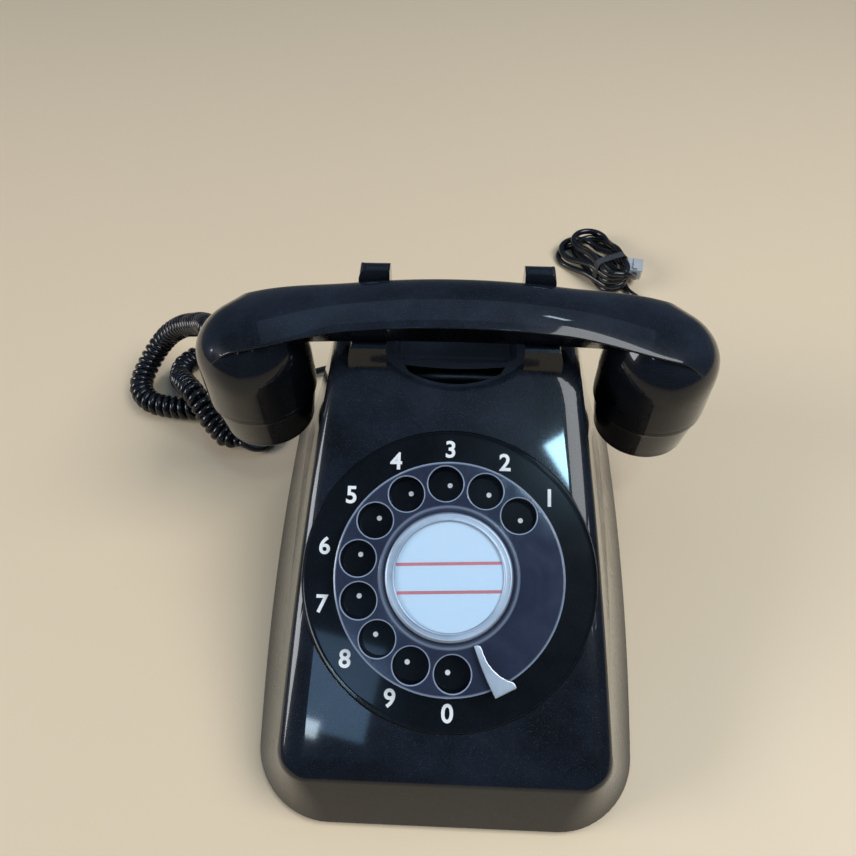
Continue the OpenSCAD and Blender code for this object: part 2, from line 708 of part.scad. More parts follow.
module plunger(side) {
    color("#1c1c20") translate([side * plunger_x, hs_y, 0]) {
        disc(1.2, plunger_low, plunger_low + 3.5);
        disc(plunger_r, plunger_low + 3, grip_low - fit_gap);
        disc(plunger_r + 1.4, plunger_low + 4, plunger_low + 6);
    }
}
module plunger_left() { plunger(-1); }
module plunger_right() { plunger(1); }

module hook_frame() {
    high = hook_pin_z + 5;
    color("#9a9da0") for (side = [-1, 1]) translate([side * upright_x, 0, 0]) difference() {
        union() {
            box([-1, hook_pin_y - 7, floor_z], [1, hook_pin_y + 7, high]);
            box([side > 0 ? 0 : -10, hook_pin_y - 7, floor_z], [side > 0 ? 10 : 0, hook_pin_y + 7, floor_z + 1.6]);
        }
        translate([-5, hook_pin_y, hook_pin_z]) rotate([0, 90, 0]) cylinder(h = 10, r = 1.51);
    }
}

module hook_lever() {
    low = hook_pin_z - 1;
    half = upright_x - 2;
    color("#c2c4c6") difference() {
        union() {
            translate([-half, hook_pin_y, hook_pin_z]) rotate([0, 90, 0]) cylinder(h = 2 * half, r = 3);
            box([-half, hook_pin_y - 4, low], [half, hook_pin_y - 1, low + 2.3]);
            for (side = [-1, 1]) translate([side * plunger_x, 0, 0])
                box([-4, hs_y - 3, low], [4, hook_pin_y - 3, low + 2.3]);
            box([half - 10, hook_pin_y + 2, low], [half, hook_pin_y + 12, low + 2.3]);
        }
        translate([-half - 1, hook_pin_y, hook_pin_z]) rotate([0, 90, 0])
            cylinder(h = 2 * half + 2, r = 1.5 + run_gap);
    }
}

module hook_pin() {
    reach = upright_x + 2;
    color("#b9bcc0") translate([-reach, hook_pin_y, hook_pin_z]) rotate([0, 90, 0])
        cylinder(h = 2 * reach, r = 1.5);
}

module hook_contacts() {
    x = upright_x - 1;
    color("#c9b37e") {
        box([x - 9, hook_pin_y - 7, hook_pin_z - 32], [x, hook_pin_y + 7, hook_pin_z - 24]);
        for (i = [0 : 3]) box([x - 8 + 2 * i, hook_pin_y - 5, hook_pin_z - 24.1],
            [x - 7.7 + 2 * i, hook_pin_y + 1, hook_pin_z - 8]);
    }
}

// Tension spring that raises the lever's front
module hook_spring() {
    x = upright_x - 6;
    y = hook_pin_y + 9;
    color("#b9bcc0") {
        translate([x, y, 0]) for (i = [0 : 9]) translate([0, 0, hook_pin_z - 14 + 1.1 * i])
            rotate_extrude() translate([2.2, 0]) circle(r = 0.54, $fn = 24);
        rod([x, y, hook_pin_z - 3.6], [x, y, hook_pin_z - 1.1], 0.5);
        rod([x, y, hook_pin_z - 22], [x, y, hook_pin_z - 14.6], 0.5);
        rod([x, y, hook_pin_z - 21.6], [upright_x - 1.5, hook_pin_y + 6.4, hook_pin_z - 21.6], 0.5);
        rod([x - 2.3, y, hook_pin_z - 14], [x + 2.3, y, hook_pin_z - 14], 0.5);
        rod([x - 2.3, y, hook_pin_z - 4.1], [x + 2.3, y, hook_pin_z - 4.1], 0.5);
    }
}

// ---- ringer ----

module gong(side, r) {
    color("#b5a06a") translate([side * (gong_gap / 2 + r), gong_y, gong_low])
        rotate_extrude($fn = 72) polygon([[2.1, gong_h], [r * 0.5, gong_h - 0.6], [r * 0.8, gong_h - 4],
            [r * 0.95, gong_h * 0.4], [r, 0], [r - 1.2, 0], [r * 0.95 - 1.2, gong_h * 0.4],
            [r * 0.8 - 1, gong_h - 5], [r * 0.5 - 0.5, gong_h - 2], [2.1, gong_h - 1.4]]);
}
module gong_left() { gong(-1, gong_l_r); }
module gong_right() { gong(1, gong_r_r); }

module gong_screws() {
    color("#b9bcc0") for (x = [-gong_gap / 2 - gong_l_r, gong_gap / 2 + gong_r_r])
        translate([x, gong_y, 0]) {
            disc(5, floor_z, gong_low + gong_h - 1.65);
            disc(2, gong_low + gong_h - 2, gong_low + gong_h + 1);
            disc(3.8, gong_low + gong_h + 0.05, gong_low + gong_h + 2);
        }
}

module ringer_frame() {
    color("#8f9296") difference() {
        union() {
            box([-18, ringer_y - 9, floor_z], [18, ringer_y + 3, floor_z + 1.6]);
            box([-18, ringer_y + 1, floor_z], [18, ringer_y + 3, floor_z + 24]);
            for (x = [-9, 9]) translate([x, ringer_y - 2, 0]) disc(2.4, floor_z, armature_low - fit_gap);
            box([-2, ringer_y - 9, floor_z + 22], [2, ringer_y + 3, floor_z + 24]);
        }
        translate([0, clapper_y, 0]) disc(1.2 + run_gap, floor_z + 10, floor_z + 30);
    }
}

module ringer_coils() {
    color("#7a3b22") for (x = [-9, 9]) translate([x, ringer_y - 2, 0]) difference() {
        union() {
            disc(5, floor_z + 2.6, armature_low - 1.4);
            disc(5.8, floor_z + 1.7, floor_z + 2.7);
            disc(5.8, armature_low - 1.5, armature_low - 0.7);
        }
        disc(2.45, floor_z, floor_z + 30);
        box([-8, 2.95, floor_z], [8, 9, floor_z + 30]);
    }
}

module ringer_magnet() {
    color("#4a4d52") box([-6, ringer_y + 3.05, floor_z], [6, ringer_y + 9, floor_z + 16]);
}

// Armature with its hammer between the gongs
module clapper() {
    reach = clapper_y - gong_y;
    color("#b9bcc0") translate([0, clapper_y, 0]) {
        disc(1.2, armature_low, floor_z + 25);
        box([-12, -1.6, armature_low], [12, 1.6, armature_low + 1.6]);
        rod([0, -0.8, armature_low + 0.8], [0, -reach, gong_low + 2.5], 0.75);
        translate([0, -reach, gong_low + 2.5]) sphere(r = 2.6);
    }
}

module volume_lever() {
    color("#26262a") translate([volume_x, volume_y, 0]) {
        disc(3, floor_z - base_t - 1.2, floor_z + 2);
        box([-1.5, -12, floor_z - base_t - 1.6], [1.5, 2, floor_z - base_t - 0.3]);
    }
}

// ---- circuit ----

module network_block() {
    color("#3a3632") difference() {
        union() {
            box([8, network_y - 18, floor_z], [52, network_y + 18, floor_z + 22]);
            box([11, network_y - 16, floor_z + 22], [49, network_y + 16, floor_z + 23.5]);
        }
        for (p = network_pins) translate(p) disc(1.3, floor_z + 16, floor_z + 30);
    }
}

module network_terminals() {
    color("#c8a24e") for (p = network_pins) translate(p) {
        disc(1.25, floor_z + 16.1, floor_z + 24.5);
        disc(2.6, floor_z + 23.5, floor_z + 25.2);
    }
}

module capacitor() {
    color("#b9bcc0") translate([capacitor_x, network_y + 13, floor_z + 9]) rotate([90, 0, 0]) {
        cylinder(h = 34, r = 9);
        translate([0, 0, -2]) cylinder(h = 38, r = 7.6);
    }
    color("#9a9da0") difference() {
        box([capacitor_x - 11, network_y - 9, floor_z], [capacitor_x + 11, network_y - 1, floor_z + 8]);
        translate([capacitor_x, network_y + 14, floor_z + 9]) rotate([90, 0, 0]) cylinder(h = 40, r = 9.02);
    }
}

// ---- handset ----

function back_z(x) = hs_top - hs_arch * pow(x / cup_x, 2);
function under_z(x) = grip_low + 0.9 * (1 - pow(x / rail_out, 2));
function grip_section(x) =
    let (top = back_z(x), low = under_z(x), half = grip_w / 2)
    [for (p = [[-grip_low_half, low], [grip_low_half, low], [half - 0.8, top - grip_edge - 1.2],
        [half, top - grip_edge], [0.7 * half, top - 1.3], [0.35 * half, top - 0.3], [0, top],
        [-0.35 * half, top - 0.3], [-0.7 * half, top - 1.3], [-half, top - grip_edge],
        [0.8 - half, top - grip_edge - 1.2]]) [x, hs_y + p[0], p[1]]];

module cup_dome() {
    spring_z = seam_z + cup_straight;
    rotate_extrude($fn = 96) polygon(concat([[0, seam_z], [cup_r, seam_z]],
        [for (a = [0 : 10 : 80]) [cup_r * cos(a), spring_z + (dome_top - spring_z) * sin(a)]],
        [[0, dome_top]]));
}

module handset_handle() {
    color("#101014") difference() {
        union() {
            loft([for (i = [-14 : 14]) grip_section(i / 14 * (cup_x + 4))]);
            for (side = [-1, 1]) at_cup(side) cup_dome();
        }
        for (side = [-1, 1]) {
            at_cup(side) {
                disc(cup_bore, seam_z - 1, seam_z + 18);
                disc(cup_bore - 7, seam_z, seam_z + 27);
            }
            rod([side * (cup_x - 26), hs_y, wire_z], [side * (cup_x - 4), hs_y, seam_z + 20],
                handle_wire_r);
        }
        rod([26 - cup_x, hs_y, wire_z], [cup_x - 26, hs_y, wire_z], handle_wire_r);
        at_cup(-1) translate([0, 0, exit_z]) rotate([0, 0, exit_angle]) rotate([0, 90, 0])
            cylinder(h = cup_r + 5, r = 3.05);
    }
}

module cap(side) {
    color("#16161a") at_cup(side) difference() {
        rotate_extrude($fn = 96) polygon([[0, cap_low_z], [cap_low_r - 2.5, cap_low_z],
            [cap_low_r - 0.7, cap_low_z + 0.7], [cap_low_r, cap_low_z + 2.5],
            [cap_top_r, seam_z - 0.15], [cap_neck_r, seam_z - 0.15], [cap_neck_r, seam_z + 5],
            [cap_in_r, seam_z + 5], [cap_in_r, cap_low_z + cap_seat], [cap_in_r - 2.5, cap_low_z + cap_seat],
            [cap_in_r - 3.5, cap_low_z + 2.2], [0, cap_low_z + 2.2]]);
        if (side > 0) for (i = [0 : 5]) rotate(60 * i) translate([5.5, 0, 0])
            disc(1.2, cap_low_z - 1, cap_low_z + 4);
        if (side > 0) disc(1.2, cap_low_z - 1, cap_low_z + 4);
        if (side < 0) for (i = [0 : 11]) rotate(30 * i) translate([i % 2 == 0 ? 9 : 5, 0, 0])
            disc(1, cap_low_z - 1, cap_low_z + 4);
    }
}
module receiver_cap() { cap(1); }
module transmitter_cap() { cap(-1); }

module capsule(side, can_r) {
    low = cap_low_z + cap_seat + seat_gap;
    color("#8a8d90") at_cup(side) {
        disc(capsule_r, low, low + 7);
        disc(can_r, low + 6.9, seam_z + 10);
    }
}
module receiver_capsule() { capsule(1, 14); }
module transmitter_capsule() { capsule(-1, 12); }

// ---- cords ----

module handset_grommet() {
    color("#1a1a1e") at_cup(-1) translate([0, 0, exit_z]) rotate([0, 0, exit_angle]) rotate([0, 90, 0]) {
        translate([0, 0, cup_bore]) cylinder(h = cup_r - cup_bore + 1, r = 3);
        translate([0, 0, cup_r + 0.02]) cylinder(h = 2, r = 4.4);
        translate([0, 0, cup_r + 2]) cylinder(h = 8, r1 = 3.4, r2 = 2.4);
    }
}

// The tail ends just short of the coil and in line with it
function cup_out(r) = [-cup_x + r * cos(exit_angle), hs_y + r * sin(exit_angle), exit_z];
module coil_cord_tail() {
    first = curve(coil_route, 2);
    along = (first[1] - first[0]) / norm(first[1] - first[0]);
    last = coil_route[0] - 3 * fit_gap * along;
    color("#18181c") tube(curve([cup_out(cup_r + 10), cup_out(cup_r + 12.5), last - 3 * along, last], 3),
        cord_d / 2, 8);
}
module coil_cord() { color("#18181c") tube(curve(coil_route, 2), coil_d / 2, 10); }
module coil_cord_end() { color("#18181c") tube(curve(coil_end_route, 1), cord_d / 2, 8); }

// Strain reliefs where the two cords enter the housing's back
module cord_grommets() {
    color("#1a1a1e") for (exit = cord_exits) translate(exit) rotate([90, 0, 0]) {
        cylinder(h = 5, r1 = 2.6, r2 = 3.3);
        cylinder(h = exit[1] - half_d + 5, r = 2.6);
        translate([0, 0, exit[1] - half_d + 4]) cylinder(h = 3, r = 4.4);
    }
}

module line_cord() { color("#18181c") tube(curve(line_route, 2), cord_d / 2, 8); }

module line_cord_hank() {
    color("#18181c") linear_extrude(hank_h) hull() {
        translate(hank_tied_end) circle(r = 8, $fn = 32);
        translate(hank_loop_end) circle(r = 17, $fn = 32);
    }
}

module cord_tie() {
    color("#26262a") translate([hank_tied_end[0] - 2, hank_tied_end[1] + 4, 0]) rotate(26)
        box([-9, -1.5, hank_h], [9, 1.5, hank_h + 1]);
}

module line_plug() {
    color("#d9dadc") translate([105.2, 209, 0]) rotate(18) {
        box([0, -4.8, 0.3], [12, 4.8, 6.9]);
        box([1, -1.6, 6.8], [11, 1.6, 8]);
    }
}

housing();
base_plate();
rubber_feet();
housing_screws();
number_plate();
numerals();
finger_dots();
finger_stop();
finger_wheel();
centre_ring();
number_card();
card_stripes();
card_window();
wheel_screw();
main_spindle();
main_gear();
dial_frame();
dial_bridge();
mainspring();
pulse_shaft();
pulse_cam();
cam_pinion();
governor_wheel();
governor();
governor_cup();
pulse_contacts();
plunger_left();
plunger_right();
hook_frame();
hook_lever();
hook_pin();
hook_contacts();
hook_spring();
gong_left();
gong_right();
gong_screws();
ringer_frame();
ringer_coils();
ringer_magnet();
clapper();
volume_lever();
network_block();
network_terminals();
capacitor();
handset_handle();
receiver_cap();
transmitter_cap();
receiver_capsule();
transmitter_capsule();
handset_grommet();
coil_cord();
coil_cord_tail();
coil_cord_end();
cord_grommets();
line_cord();
line_cord_hank();
cord_tie();
line_plug();
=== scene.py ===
import bpy
import bmesh
import math
from mathutils import Matrix, Vector
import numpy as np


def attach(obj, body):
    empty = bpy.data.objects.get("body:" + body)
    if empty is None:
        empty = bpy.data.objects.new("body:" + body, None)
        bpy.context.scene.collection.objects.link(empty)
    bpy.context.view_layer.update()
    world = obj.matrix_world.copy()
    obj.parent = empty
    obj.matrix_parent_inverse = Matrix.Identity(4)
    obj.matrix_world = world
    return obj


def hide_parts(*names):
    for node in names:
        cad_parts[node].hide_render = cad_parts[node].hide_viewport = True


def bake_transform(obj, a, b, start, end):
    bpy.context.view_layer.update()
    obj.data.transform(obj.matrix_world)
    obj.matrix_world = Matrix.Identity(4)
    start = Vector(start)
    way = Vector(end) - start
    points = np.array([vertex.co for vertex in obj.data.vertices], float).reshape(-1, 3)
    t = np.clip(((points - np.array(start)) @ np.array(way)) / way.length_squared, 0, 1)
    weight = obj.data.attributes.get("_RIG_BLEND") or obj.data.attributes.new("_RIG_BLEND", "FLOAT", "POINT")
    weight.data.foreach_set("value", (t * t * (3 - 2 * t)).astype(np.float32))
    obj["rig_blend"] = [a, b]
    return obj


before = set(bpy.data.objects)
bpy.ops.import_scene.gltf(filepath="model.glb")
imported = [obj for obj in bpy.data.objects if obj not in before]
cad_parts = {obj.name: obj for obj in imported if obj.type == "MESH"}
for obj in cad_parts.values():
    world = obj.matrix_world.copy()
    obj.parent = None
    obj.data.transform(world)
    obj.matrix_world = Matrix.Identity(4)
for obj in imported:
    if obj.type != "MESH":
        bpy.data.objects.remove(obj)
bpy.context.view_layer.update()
mm = 0.001
print("frame loaded")

# ---- camera, set first ----

view = dict(place=(-0.84, -162.14, 309.93), yaw=-0.0496353, pitch=0.8970988, roll=-0.0104088, lens=31.12)


def makeCamera(v):
    ahead = Vector((math.sin(v["yaw"]) * math.cos(v["pitch"]), math.cos(v["yaw"]) * math.cos(v["pitch"]),
                    -math.sin(v["pitch"])))
    right = Vector((math.cos(v["yaw"]), -math.sin(v["yaw"]), 0))
    up = right.cross(ahead)
    rolledRight = right * math.cos(v["roll"]) + up * math.sin(v["roll"])
    rolledUp = up * math.cos(v["roll"]) - right * math.sin(v["roll"])
    turn = Matrix((rolledRight, rolledUp, -ahead)).transposed().to_4x4()
    data = bpy.data.cameras.new("camera")
    data.lens = v["lens"]
    data.sensor_width = 36
    data.clip_start = 0.01
    camera = bpy.data.objects.new("camera", data)
    bpy.context.scene.collection.objects.link(camera)
    camera.matrix_world = Matrix.Translation(Vector(v["place"]) * mm) @ turn
    bpy.context.scene.camera = camera


makeCamera(view)

# ---- helpers for shapes; sizes are in millimetres until a mesh is made ----


def vec(point):
    return Vector(point) * mm


def moved(x=0, y=0, z=0):
    return Matrix.Translation(vec((x, y, z)))


def spun(angle, axis="Z"):
    return Matrix.Rotation(angle, 4, axis)


def onCircle(middle, radius, angle):
    return Vector((middle[0] + radius * math.cos(angle), middle[1] + radius * math.sin(angle)))


def ease(t):
    # from 0 to 1 with a slow start and a slow end
    t = max(0, min(1, t))
    return t * t * (3 - 2 * t)


def addObject(name, data):
    holder = bpy.data.objects.new(name, data)
    bpy.context.scene.collection.objects.link(holder)
    return holder


def meshOf(holder):
    # the mesh of a helper object after its curve or modifiers
    graph = bpy.context.evaluated_depsgraph_get()
    return bpy.data.meshes.new_from_object(holder.evaluated_get(graph))


def meshMade(name, data):
    # the mesh of a curve or a text
    holder = addObject(name, data)
    mesh = meshOf(holder)
    bpy.data.objects.remove(holder)
    return mesh


def outward(bm):
    bmesh.ops.recalc_face_normals(bm, faces=bm.faces)
    return bm


def meshFrom(bm, name):
    mesh = bpy.data.meshes.new(name)
    bm.to_mesh(mesh)
    bm.free()
    return mesh


def absorb(bm, part, name):
    mesh = meshFrom(part, name)
    bm.from_mesh(mesh)
    bpy.data.meshes.remove(mesh)


def addPiece(name, bm, body, material, stands=(), place=None, sharp=32):
    if place is not None:
        bm.transform(place)
    bmesh.ops.remove_doubles(bm, verts=bm.verts, dist=2e-7)
    return addMesh(name, meshFrom(outward(bm), name), body, material, stands, sharp)


def addMesh(name, mesh, body, material, stands=(), sharp=32):
    mesh.name = name
    mesh.shade_smooth()
    if sharp:
        mesh.set_sharp_from_angle(angle=math.radians(sharp))
    piece = addObject(name, mesh)
    if sharp:  # flat faces stay flat beside their rounded edges
        even = piece.modifiers.new("evenShading", "WEIGHTED_NORMAL")
        even.weight = 50
        even.keep_sharp = True
    piece.data.materials.clear()
    piece.data.materials.append(material)
    if body:
        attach(piece, body)
    if stands:
        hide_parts(*stands)
    return piece


def turned(profile, steps=96, closed=True):
    # profile points are (radius, height) or (radius, height, rounding)
    bm = bmesh.new()
    points = [bm.verts.new((p[0] * mm, 0, p[1] * mm)) for p in profile]
    for pair in zip(points, points[1:]):
        bm.edges.new(pair)
    if closed:
        bm.edges.new((points[-1], points[0]))
    for point, p in zip(points, profile):
        if len(p) > 2:
            bmesh.ops.bevel(bm, geom=[point], offset=p[2] * mm, offset_type="OFFSET", segments=4,
                            profile=0.5, affect="VERTICES", material=-1)
    bmesh.ops.spin(bm, geom=bm.verts[:] + bm.edges[:], cent=(0, 0, 0), axis=(0, 0, 1), dvec=(0, 0, 0),
                   angle=2 * math.pi, steps=steps, use_merge=True)
    bmesh.ops.remove_doubles(bm, verts=bm.verts, dist=1e-6)
    bmesh.ops.dissolve_degenerate(bm, dist=1e-7, edges=bm.edges)
    return outward(bm)


def slab(outline, low, high):
    bm = bmesh.new()
    floorFace = bm.faces.new([bm.verts.new((x * mm, y * mm, low * mm)) for x, y in outline])
    raised = bmesh.ops.extrude_face_region(bm, geom=[floorFace])
    bmesh.ops.translate(bm, vec=(0, 0, (high - low) * mm),
                        verts=[v for v in raised["geom"] if isinstance(v, bmesh.types.BMVert)])
    return outward(bm)


def roundEdges(bm, offset, segments=3, sharper=30, where=None):
    picked = [e for e in bm.edges if len(e.link_faces) == 2
              and e.calc_face_angle(0) > math.radians(sharper) and (where is None or where(e))]
    bmesh.ops.bevel(bm, geom=picked, offset=offset * mm, offset_type="OFFSET", segments=segments,
                    profile=0.5, affect="EDGES", clamp_overlap=True, material=-1)


def dropFlatEdges(bm, angle):
    bmesh.ops.remove_doubles(bm, verts=bm.verts, dist=1e-6)
    bmesh.ops.dissolve_limit(bm, angle_limit=angle, verts=bm.verts, edges=bm.edges)


def bridgeAll(bm, loops):
    for one, two in zip(loops, loops[1:]):
        bmesh.ops.bridge_loops(bm, edges=one + two)


def closedRing(bm, ring):
    corners = [bm.verts.new(vec(p)) for p in ring]
    return corners, [bm.edges.new((corners[i - 1], corners[i])) for i in range(len(corners))]


def ringStack(rings):
    # a closed skin over rings of points, one bridge between each two
    bm = bmesh.new()
    loops = [closedRing(bm, ring) for ring in rings]
    bridgeAll(bm, [edges for _, edges in loops])
    bm.faces.new(loops[0][0])
    bm.faces.new(loops[-1][0])
    return outward(bm)


def toolFrom(bm, place=None):
    if place is not None:
        bm.transform(place)
    return addObject("tool", meshFrom(bm, "tool"))


def carve(target, tool, operation="DIFFERENCE"):
    change = target.modifiers.new("carve", "BOOLEAN")
    change.operation = operation
    change.solver = "EXACT"
    change.object = tool
    mesh = meshOf(target)
    target.modifiers.clear()
    target.data = mesh
    bpy.data.objects.remove(tool)


def bmFrom(piece):
    # takes a helper object apart into a bmesh again
    bm = bmesh.new()
    bm.from_mesh(piece.data)
    bpy.data.objects.remove(piece)
    return bm


def drum(radius, low, high, segments=96, place=None):
    bm = bmesh.new()
    bmesh.ops.create_cone(bm, cap_ends=True, segments=segments, radius1=radius * mm, radius2=radius * mm,
                          depth=(high - low) * mm, matrix=moved(z=(low + high) / 2))
    if place is not None:
        bm.transform(place)
    return bm


def smoothLine(points, steps):
    # the same smooth curve through chosen points as the solid cords follow
    line = []
    for i in range(len(points) - 1):
        a, b = Vector(points[max(0, i - 1)]), Vector(points[i])
        c, d = Vector(points[i + 1]), Vector(points[min(len(points) - 1, i + 2)])
        for s in range(steps):
            t = s / steps
            line.append((2 * b + (c - a) * t + (2 * a - 5 * b + 4 * c - d) * t * t
                         + (3 * b - a - 3 * c + d) * t ** 3) / 2)
    return line + [Vector(points[-1])]


def lengthOf(points):
    return sum((b - a).length for a, b in zip(points, points[1:]))


def evenly(points, gap):
    # the same line with its points an even distance apart
    count = max(2, round(lengthOf(points) / gap))
    step = lengthOf(points) / count
    line, travelled, wanted = [points[0].copy()], 0, step
    for a, b in zip(points, points[1:]):
        part = (b - a).length
        while part > 0 and travelled + part >= wanted - 1e-9 and len(line) < count:
            line.append(a.lerp(b, (wanted - travelled) / part))
            wanted += step
        travelled += part
    return line + [points[-1].copy()]


def tubeMesh(path, diameter, ringSides):
    # a poly curve with a round bevel, made into a mesh
    data = bpy.data.curves.new("tube", "CURVE")
    data.dimensions = "3D"
    data.bevel_depth = diameter / 2 * mm
    data.bevel_resolution = (ringSides - 4) // 2
    data.use_fill_caps = True
    data.twist_mode = "MINIMUM"
    spline = data.splines.new("POLY")
    spline.points.add(len(path) - 1)
    for point, p in zip(spline.points, path):
        point.co = (*vec(p), 1)
    return meshMade("tube", data)


# ---- surface effects shared by several finishes ----


def newGroup(name, values, masks):
    # a group takes a place and some sizes and gives masks
    group = bpy.data.node_groups.new(name, "ShaderNodeTree")
    group.interface.new_socket("Vector", in_out="INPUT", socket_type="NodeSocketVector")
    for label, value in values.items():
        socket = group.interface.new_socket(label, in_out="INPUT", socket_type="NodeSocketFloat")
        socket.default_value = value
    for label in masks:
        group.interface.new_socket(label, in_out="OUTPUT", socket_type="NodeSocketFloat")
    return group, group.nodes.new("NodeGroupInput"), group.nodes.new("NodeGroupOutput")


def addNode(tree, kind, inputs=None, **settings):
    # an input given as a socket is linked, any other value is set
    node = tree.nodes.new("ShaderNode" + kind)
    for key, value in settings.items():
        setattr(node, key, value)
    for key, value in (inputs or {}).items():
        if isinstance(value, bpy.types.NodeSocket):
            tree.links.new(value, node.inputs[key])
        else:
            node.inputs[key].default_value = value
    return node


def maths(tree, operation, *inputs, clamped=False):
    return addNode(tree, "Math", dict(enumerate(inputs)), operation=operation, use_clamp=clamped).outputs[0]


def noise(tree, place, scale, **inputs):
    return addNode(tree, "TexNoise", {"Vector": place, "Scale": scale, **inputs}).outputs[0]


def remapped(tree, value, low, high, **settings):
    given = {"Value": value, "From Min": low, "From Max": high}
    return addNode(tree, "MapRange", given, **settings).outputs[0]


def makeDustFilm():
    # fine specks that gather on upward faces, in drifts
    group, given, result = newGroup("dustFilm", {"Speck size": 0.0004, "Amount": 0.5}, ["Mask"])
    place = given.outputs["Vector"]
    scale = maths(group, "DIVIDE", 1.0, given.outputs["Speck size"])
    specks = remapped(group, noise(group, place, scale, Detail=2.0, Roughness=0.6), 0.58, 0.72,
                      interpolation_type="SMOOTHSTEP")
    drift = remapped(group, noise(group, place, 38.0, Detail=4.0, Roughness=0.62), 0.35, 0.7)
    normal = addNode(group, "NewGeometry").outputs["Normal"]
    upward = remapped(group, addNode(group, "SeparateXYZ", {0: normal}).outputs["Z"], 0.15, 0.9)
    haze = maths(group, "MULTIPLY_ADD", drift, 0.35, specks)
    settled = maths(group, "MULTIPLY", haze, upward)
    mask = maths(group, "MULTIPLY", settled, given.outputs["Amount"], clamped=True)
    group.links.new(mask, result.inputs["Mask"])
    return group


def makeHandling():
    # soft smears and long thin hairlines left by hands and cloths
    group, given, result = newGroup("handlingMarks", {"Smear size": 0.02}, ["Smear", "Hairline"])
    place = given.outputs["Vector"]
    scale = maths(group, "DIVIDE", 1.0, given.outputs["Smear size"])
    smear = noise(group, place, scale, Detail=5.0, Roughness=0.55, Distortion=1.2)
    group.links.new(remapped(group, smear, 0.38, 0.72), result.inputs["Smear"])
    lines = []
    for turn in (0.5, 1.9):
        drawn = addNode(group, "Mapping", {"Vector": place, "Rotation": (0.2, 0.1, turn),
                                           "Scale": (1900, 45, 300)})
        lines.append(remapped(group, noise(group, drawn.outputs[0], 1.0, Detail=1.0), 0.72, 0.8))
    group.links.new(maths(group, "ADD", *lines, clamped=True), result.inputs["Hairline"])
    return group


def makeGrain():
    # the fine grain of moulded and cast surfaces
    group, given, result = newGroup("mouldedGrain", {"Grain size": 0.001}, ["Height"])
    scale = maths(group, "DIVIDE", 1.0, given.outputs["Grain size"])
    grain = noise(group, given.outputs["Vector"], scale, Detail=3.0, Roughness=0.5)
    group.links.new(grain, result.inputs["Height"])
    return group


dustFilm = makeDustFilm()
handlingMarks = makeHandling()
mouldedGrain = makeGrain()


def useGroup(tree, group, place, **inputs):
    node = tree.nodes.new("ShaderNodeGroup")
    node.node_tree = group
    tree.links.new(place, node.inputs["Vector"])
    for key, value in inputs.items():
        node.inputs[key.replace("_", " ")].default_value = value
    return node.outputs


def mixed(tree, factor, one, two):
    # sockets 6 and 7 are the two colours
    return addNode(tree, "Mix", {"Factor": factor, 6: one, 7: two}, data_type="RGBA").outputs[2]


def makeFinish(name, colour, rough, dust=0.3, dustColour=(0.2, 0.21, 0.23), dustSize=0.0004, smear=0.08,
               smearSize=0.02, hairline=0.1, grain=0.0, grainSize=0.001, tint=None, **fixed):
    # one finish: base colour with settled dust, roughness from smears and hairlines, height from grain
    material = bpy.data.materials.new(name)
    material.use_nodes = True
    tree = material.node_tree
    tree.nodes.clear()
    shader = addNode(tree, "BsdfPrincipled", fixed)
    addNode(tree, "OutputMaterial", {0: shader.outputs[0]})
    place = addNode(tree, "TexCoord").outputs["Object"]
    film = useGroup(tree, dustFilm, place, Speck_size=dustSize, Amount=dust)["Mask"]
    marks = useGroup(tree, handlingMarks, place, Smear_size=smearSize)
    smeared = (*(tint or [min(1, c * 1.25) for c in colour]), 1)
    shade = mixed(tree, marks["Smear"], (*colour, 1), smeared)
    tree.links.new(mixed(tree, film, shade, (*dustColour, 1)), shader.inputs["Base Color"])
    worn = maths(tree, "MULTIPLY_ADD", marks["Smear"], smear, rough)
    lined = maths(tree, "MULTIPLY_ADD", marks["Hairline"], hairline, worn)
    dulled = maths(tree, "MULTIPLY_ADD", film, 0.35, lined, clamped=True)
    tree.links.new(dulled, shader.inputs["Roughness"])
    if grain:
        height = useGroup(tree, mouldedGrain, place, Grain_size=grainSize)["Height"]
        bump = addNode(tree, "Bump", {"Height": height, "Strength": 1.0, "Distance": grain * mm})
        tree.links.new(bump.outputs[0], shader.inputs["Normal"])
    return material


def skin(rough, ior):
    # a clear hard skin over a duller base
    return {"Coat Weight": 1.0, "Coat Roughness": rough, "Coat IOR": ior, "Specular IOR Level": 0.1}


def makeMetal(name, colour, rough, dust=0.2, hairline=0.2, grain=0.008, grainSize=0.0008, **look):
    return makeFinish(name, colour, rough, dust=dust, hairline=hairline, grain=grain, grainSize=grainSize,
                      Metallic=1.0, **look)


glossBlack = makeFinish("glossBlack", (0.0035, 0.0042, 0.006), 0.24, dust=0.26, dustColour=(0.09, 0.13, 0.21),
                        grain=0.003, grainSize=0.006, **skin(0.045, 1.38))
capBlack = makeFinish("capBlack", (0.004, 0.0045, 0.006), 0.26, dust=0.22, dustColour=(0.09, 0.12, 0.18),
                      grain=0.003, grainSize=0.004, **skin(0.06, 1.36))
plateBlack = makeFinish("plateBlack", (0.002, 0.0026, 0.0035), 0.2, dust=0.1, dustColour=(0.08, 0.11, 0.17),
                        dustSize=0.0003, grain=0.003, grainSize=0.003, **skin(0.05, 1.3))
printWhite = makeFinish("printWhite", (0.84, 0.84, 0.82), 0.4, dust=0.25, dustColour=(0.5, 0.5, 0.52),
                        grain=0.01, grainSize=0.0008)
clearWheel = makeFinish("clearWheel", (0.03, 0.038, 0.074), 0.12, dust=0.14, dustColour=(0.11, 0.14, 0.2),
                        dustSize=0.0003, smear=0.1, hairline=0.2, grain=0.003, grainSize=0.004,
                        tint=(0.038, 0.048, 0.09))
clearWindow = makeFinish("clearWindow", (0.8, 0.9, 1.0), 0.05, dust=0.1, smear=0.06, grain=0.002,
                         grainSize=0.004, Alpha=0.12)


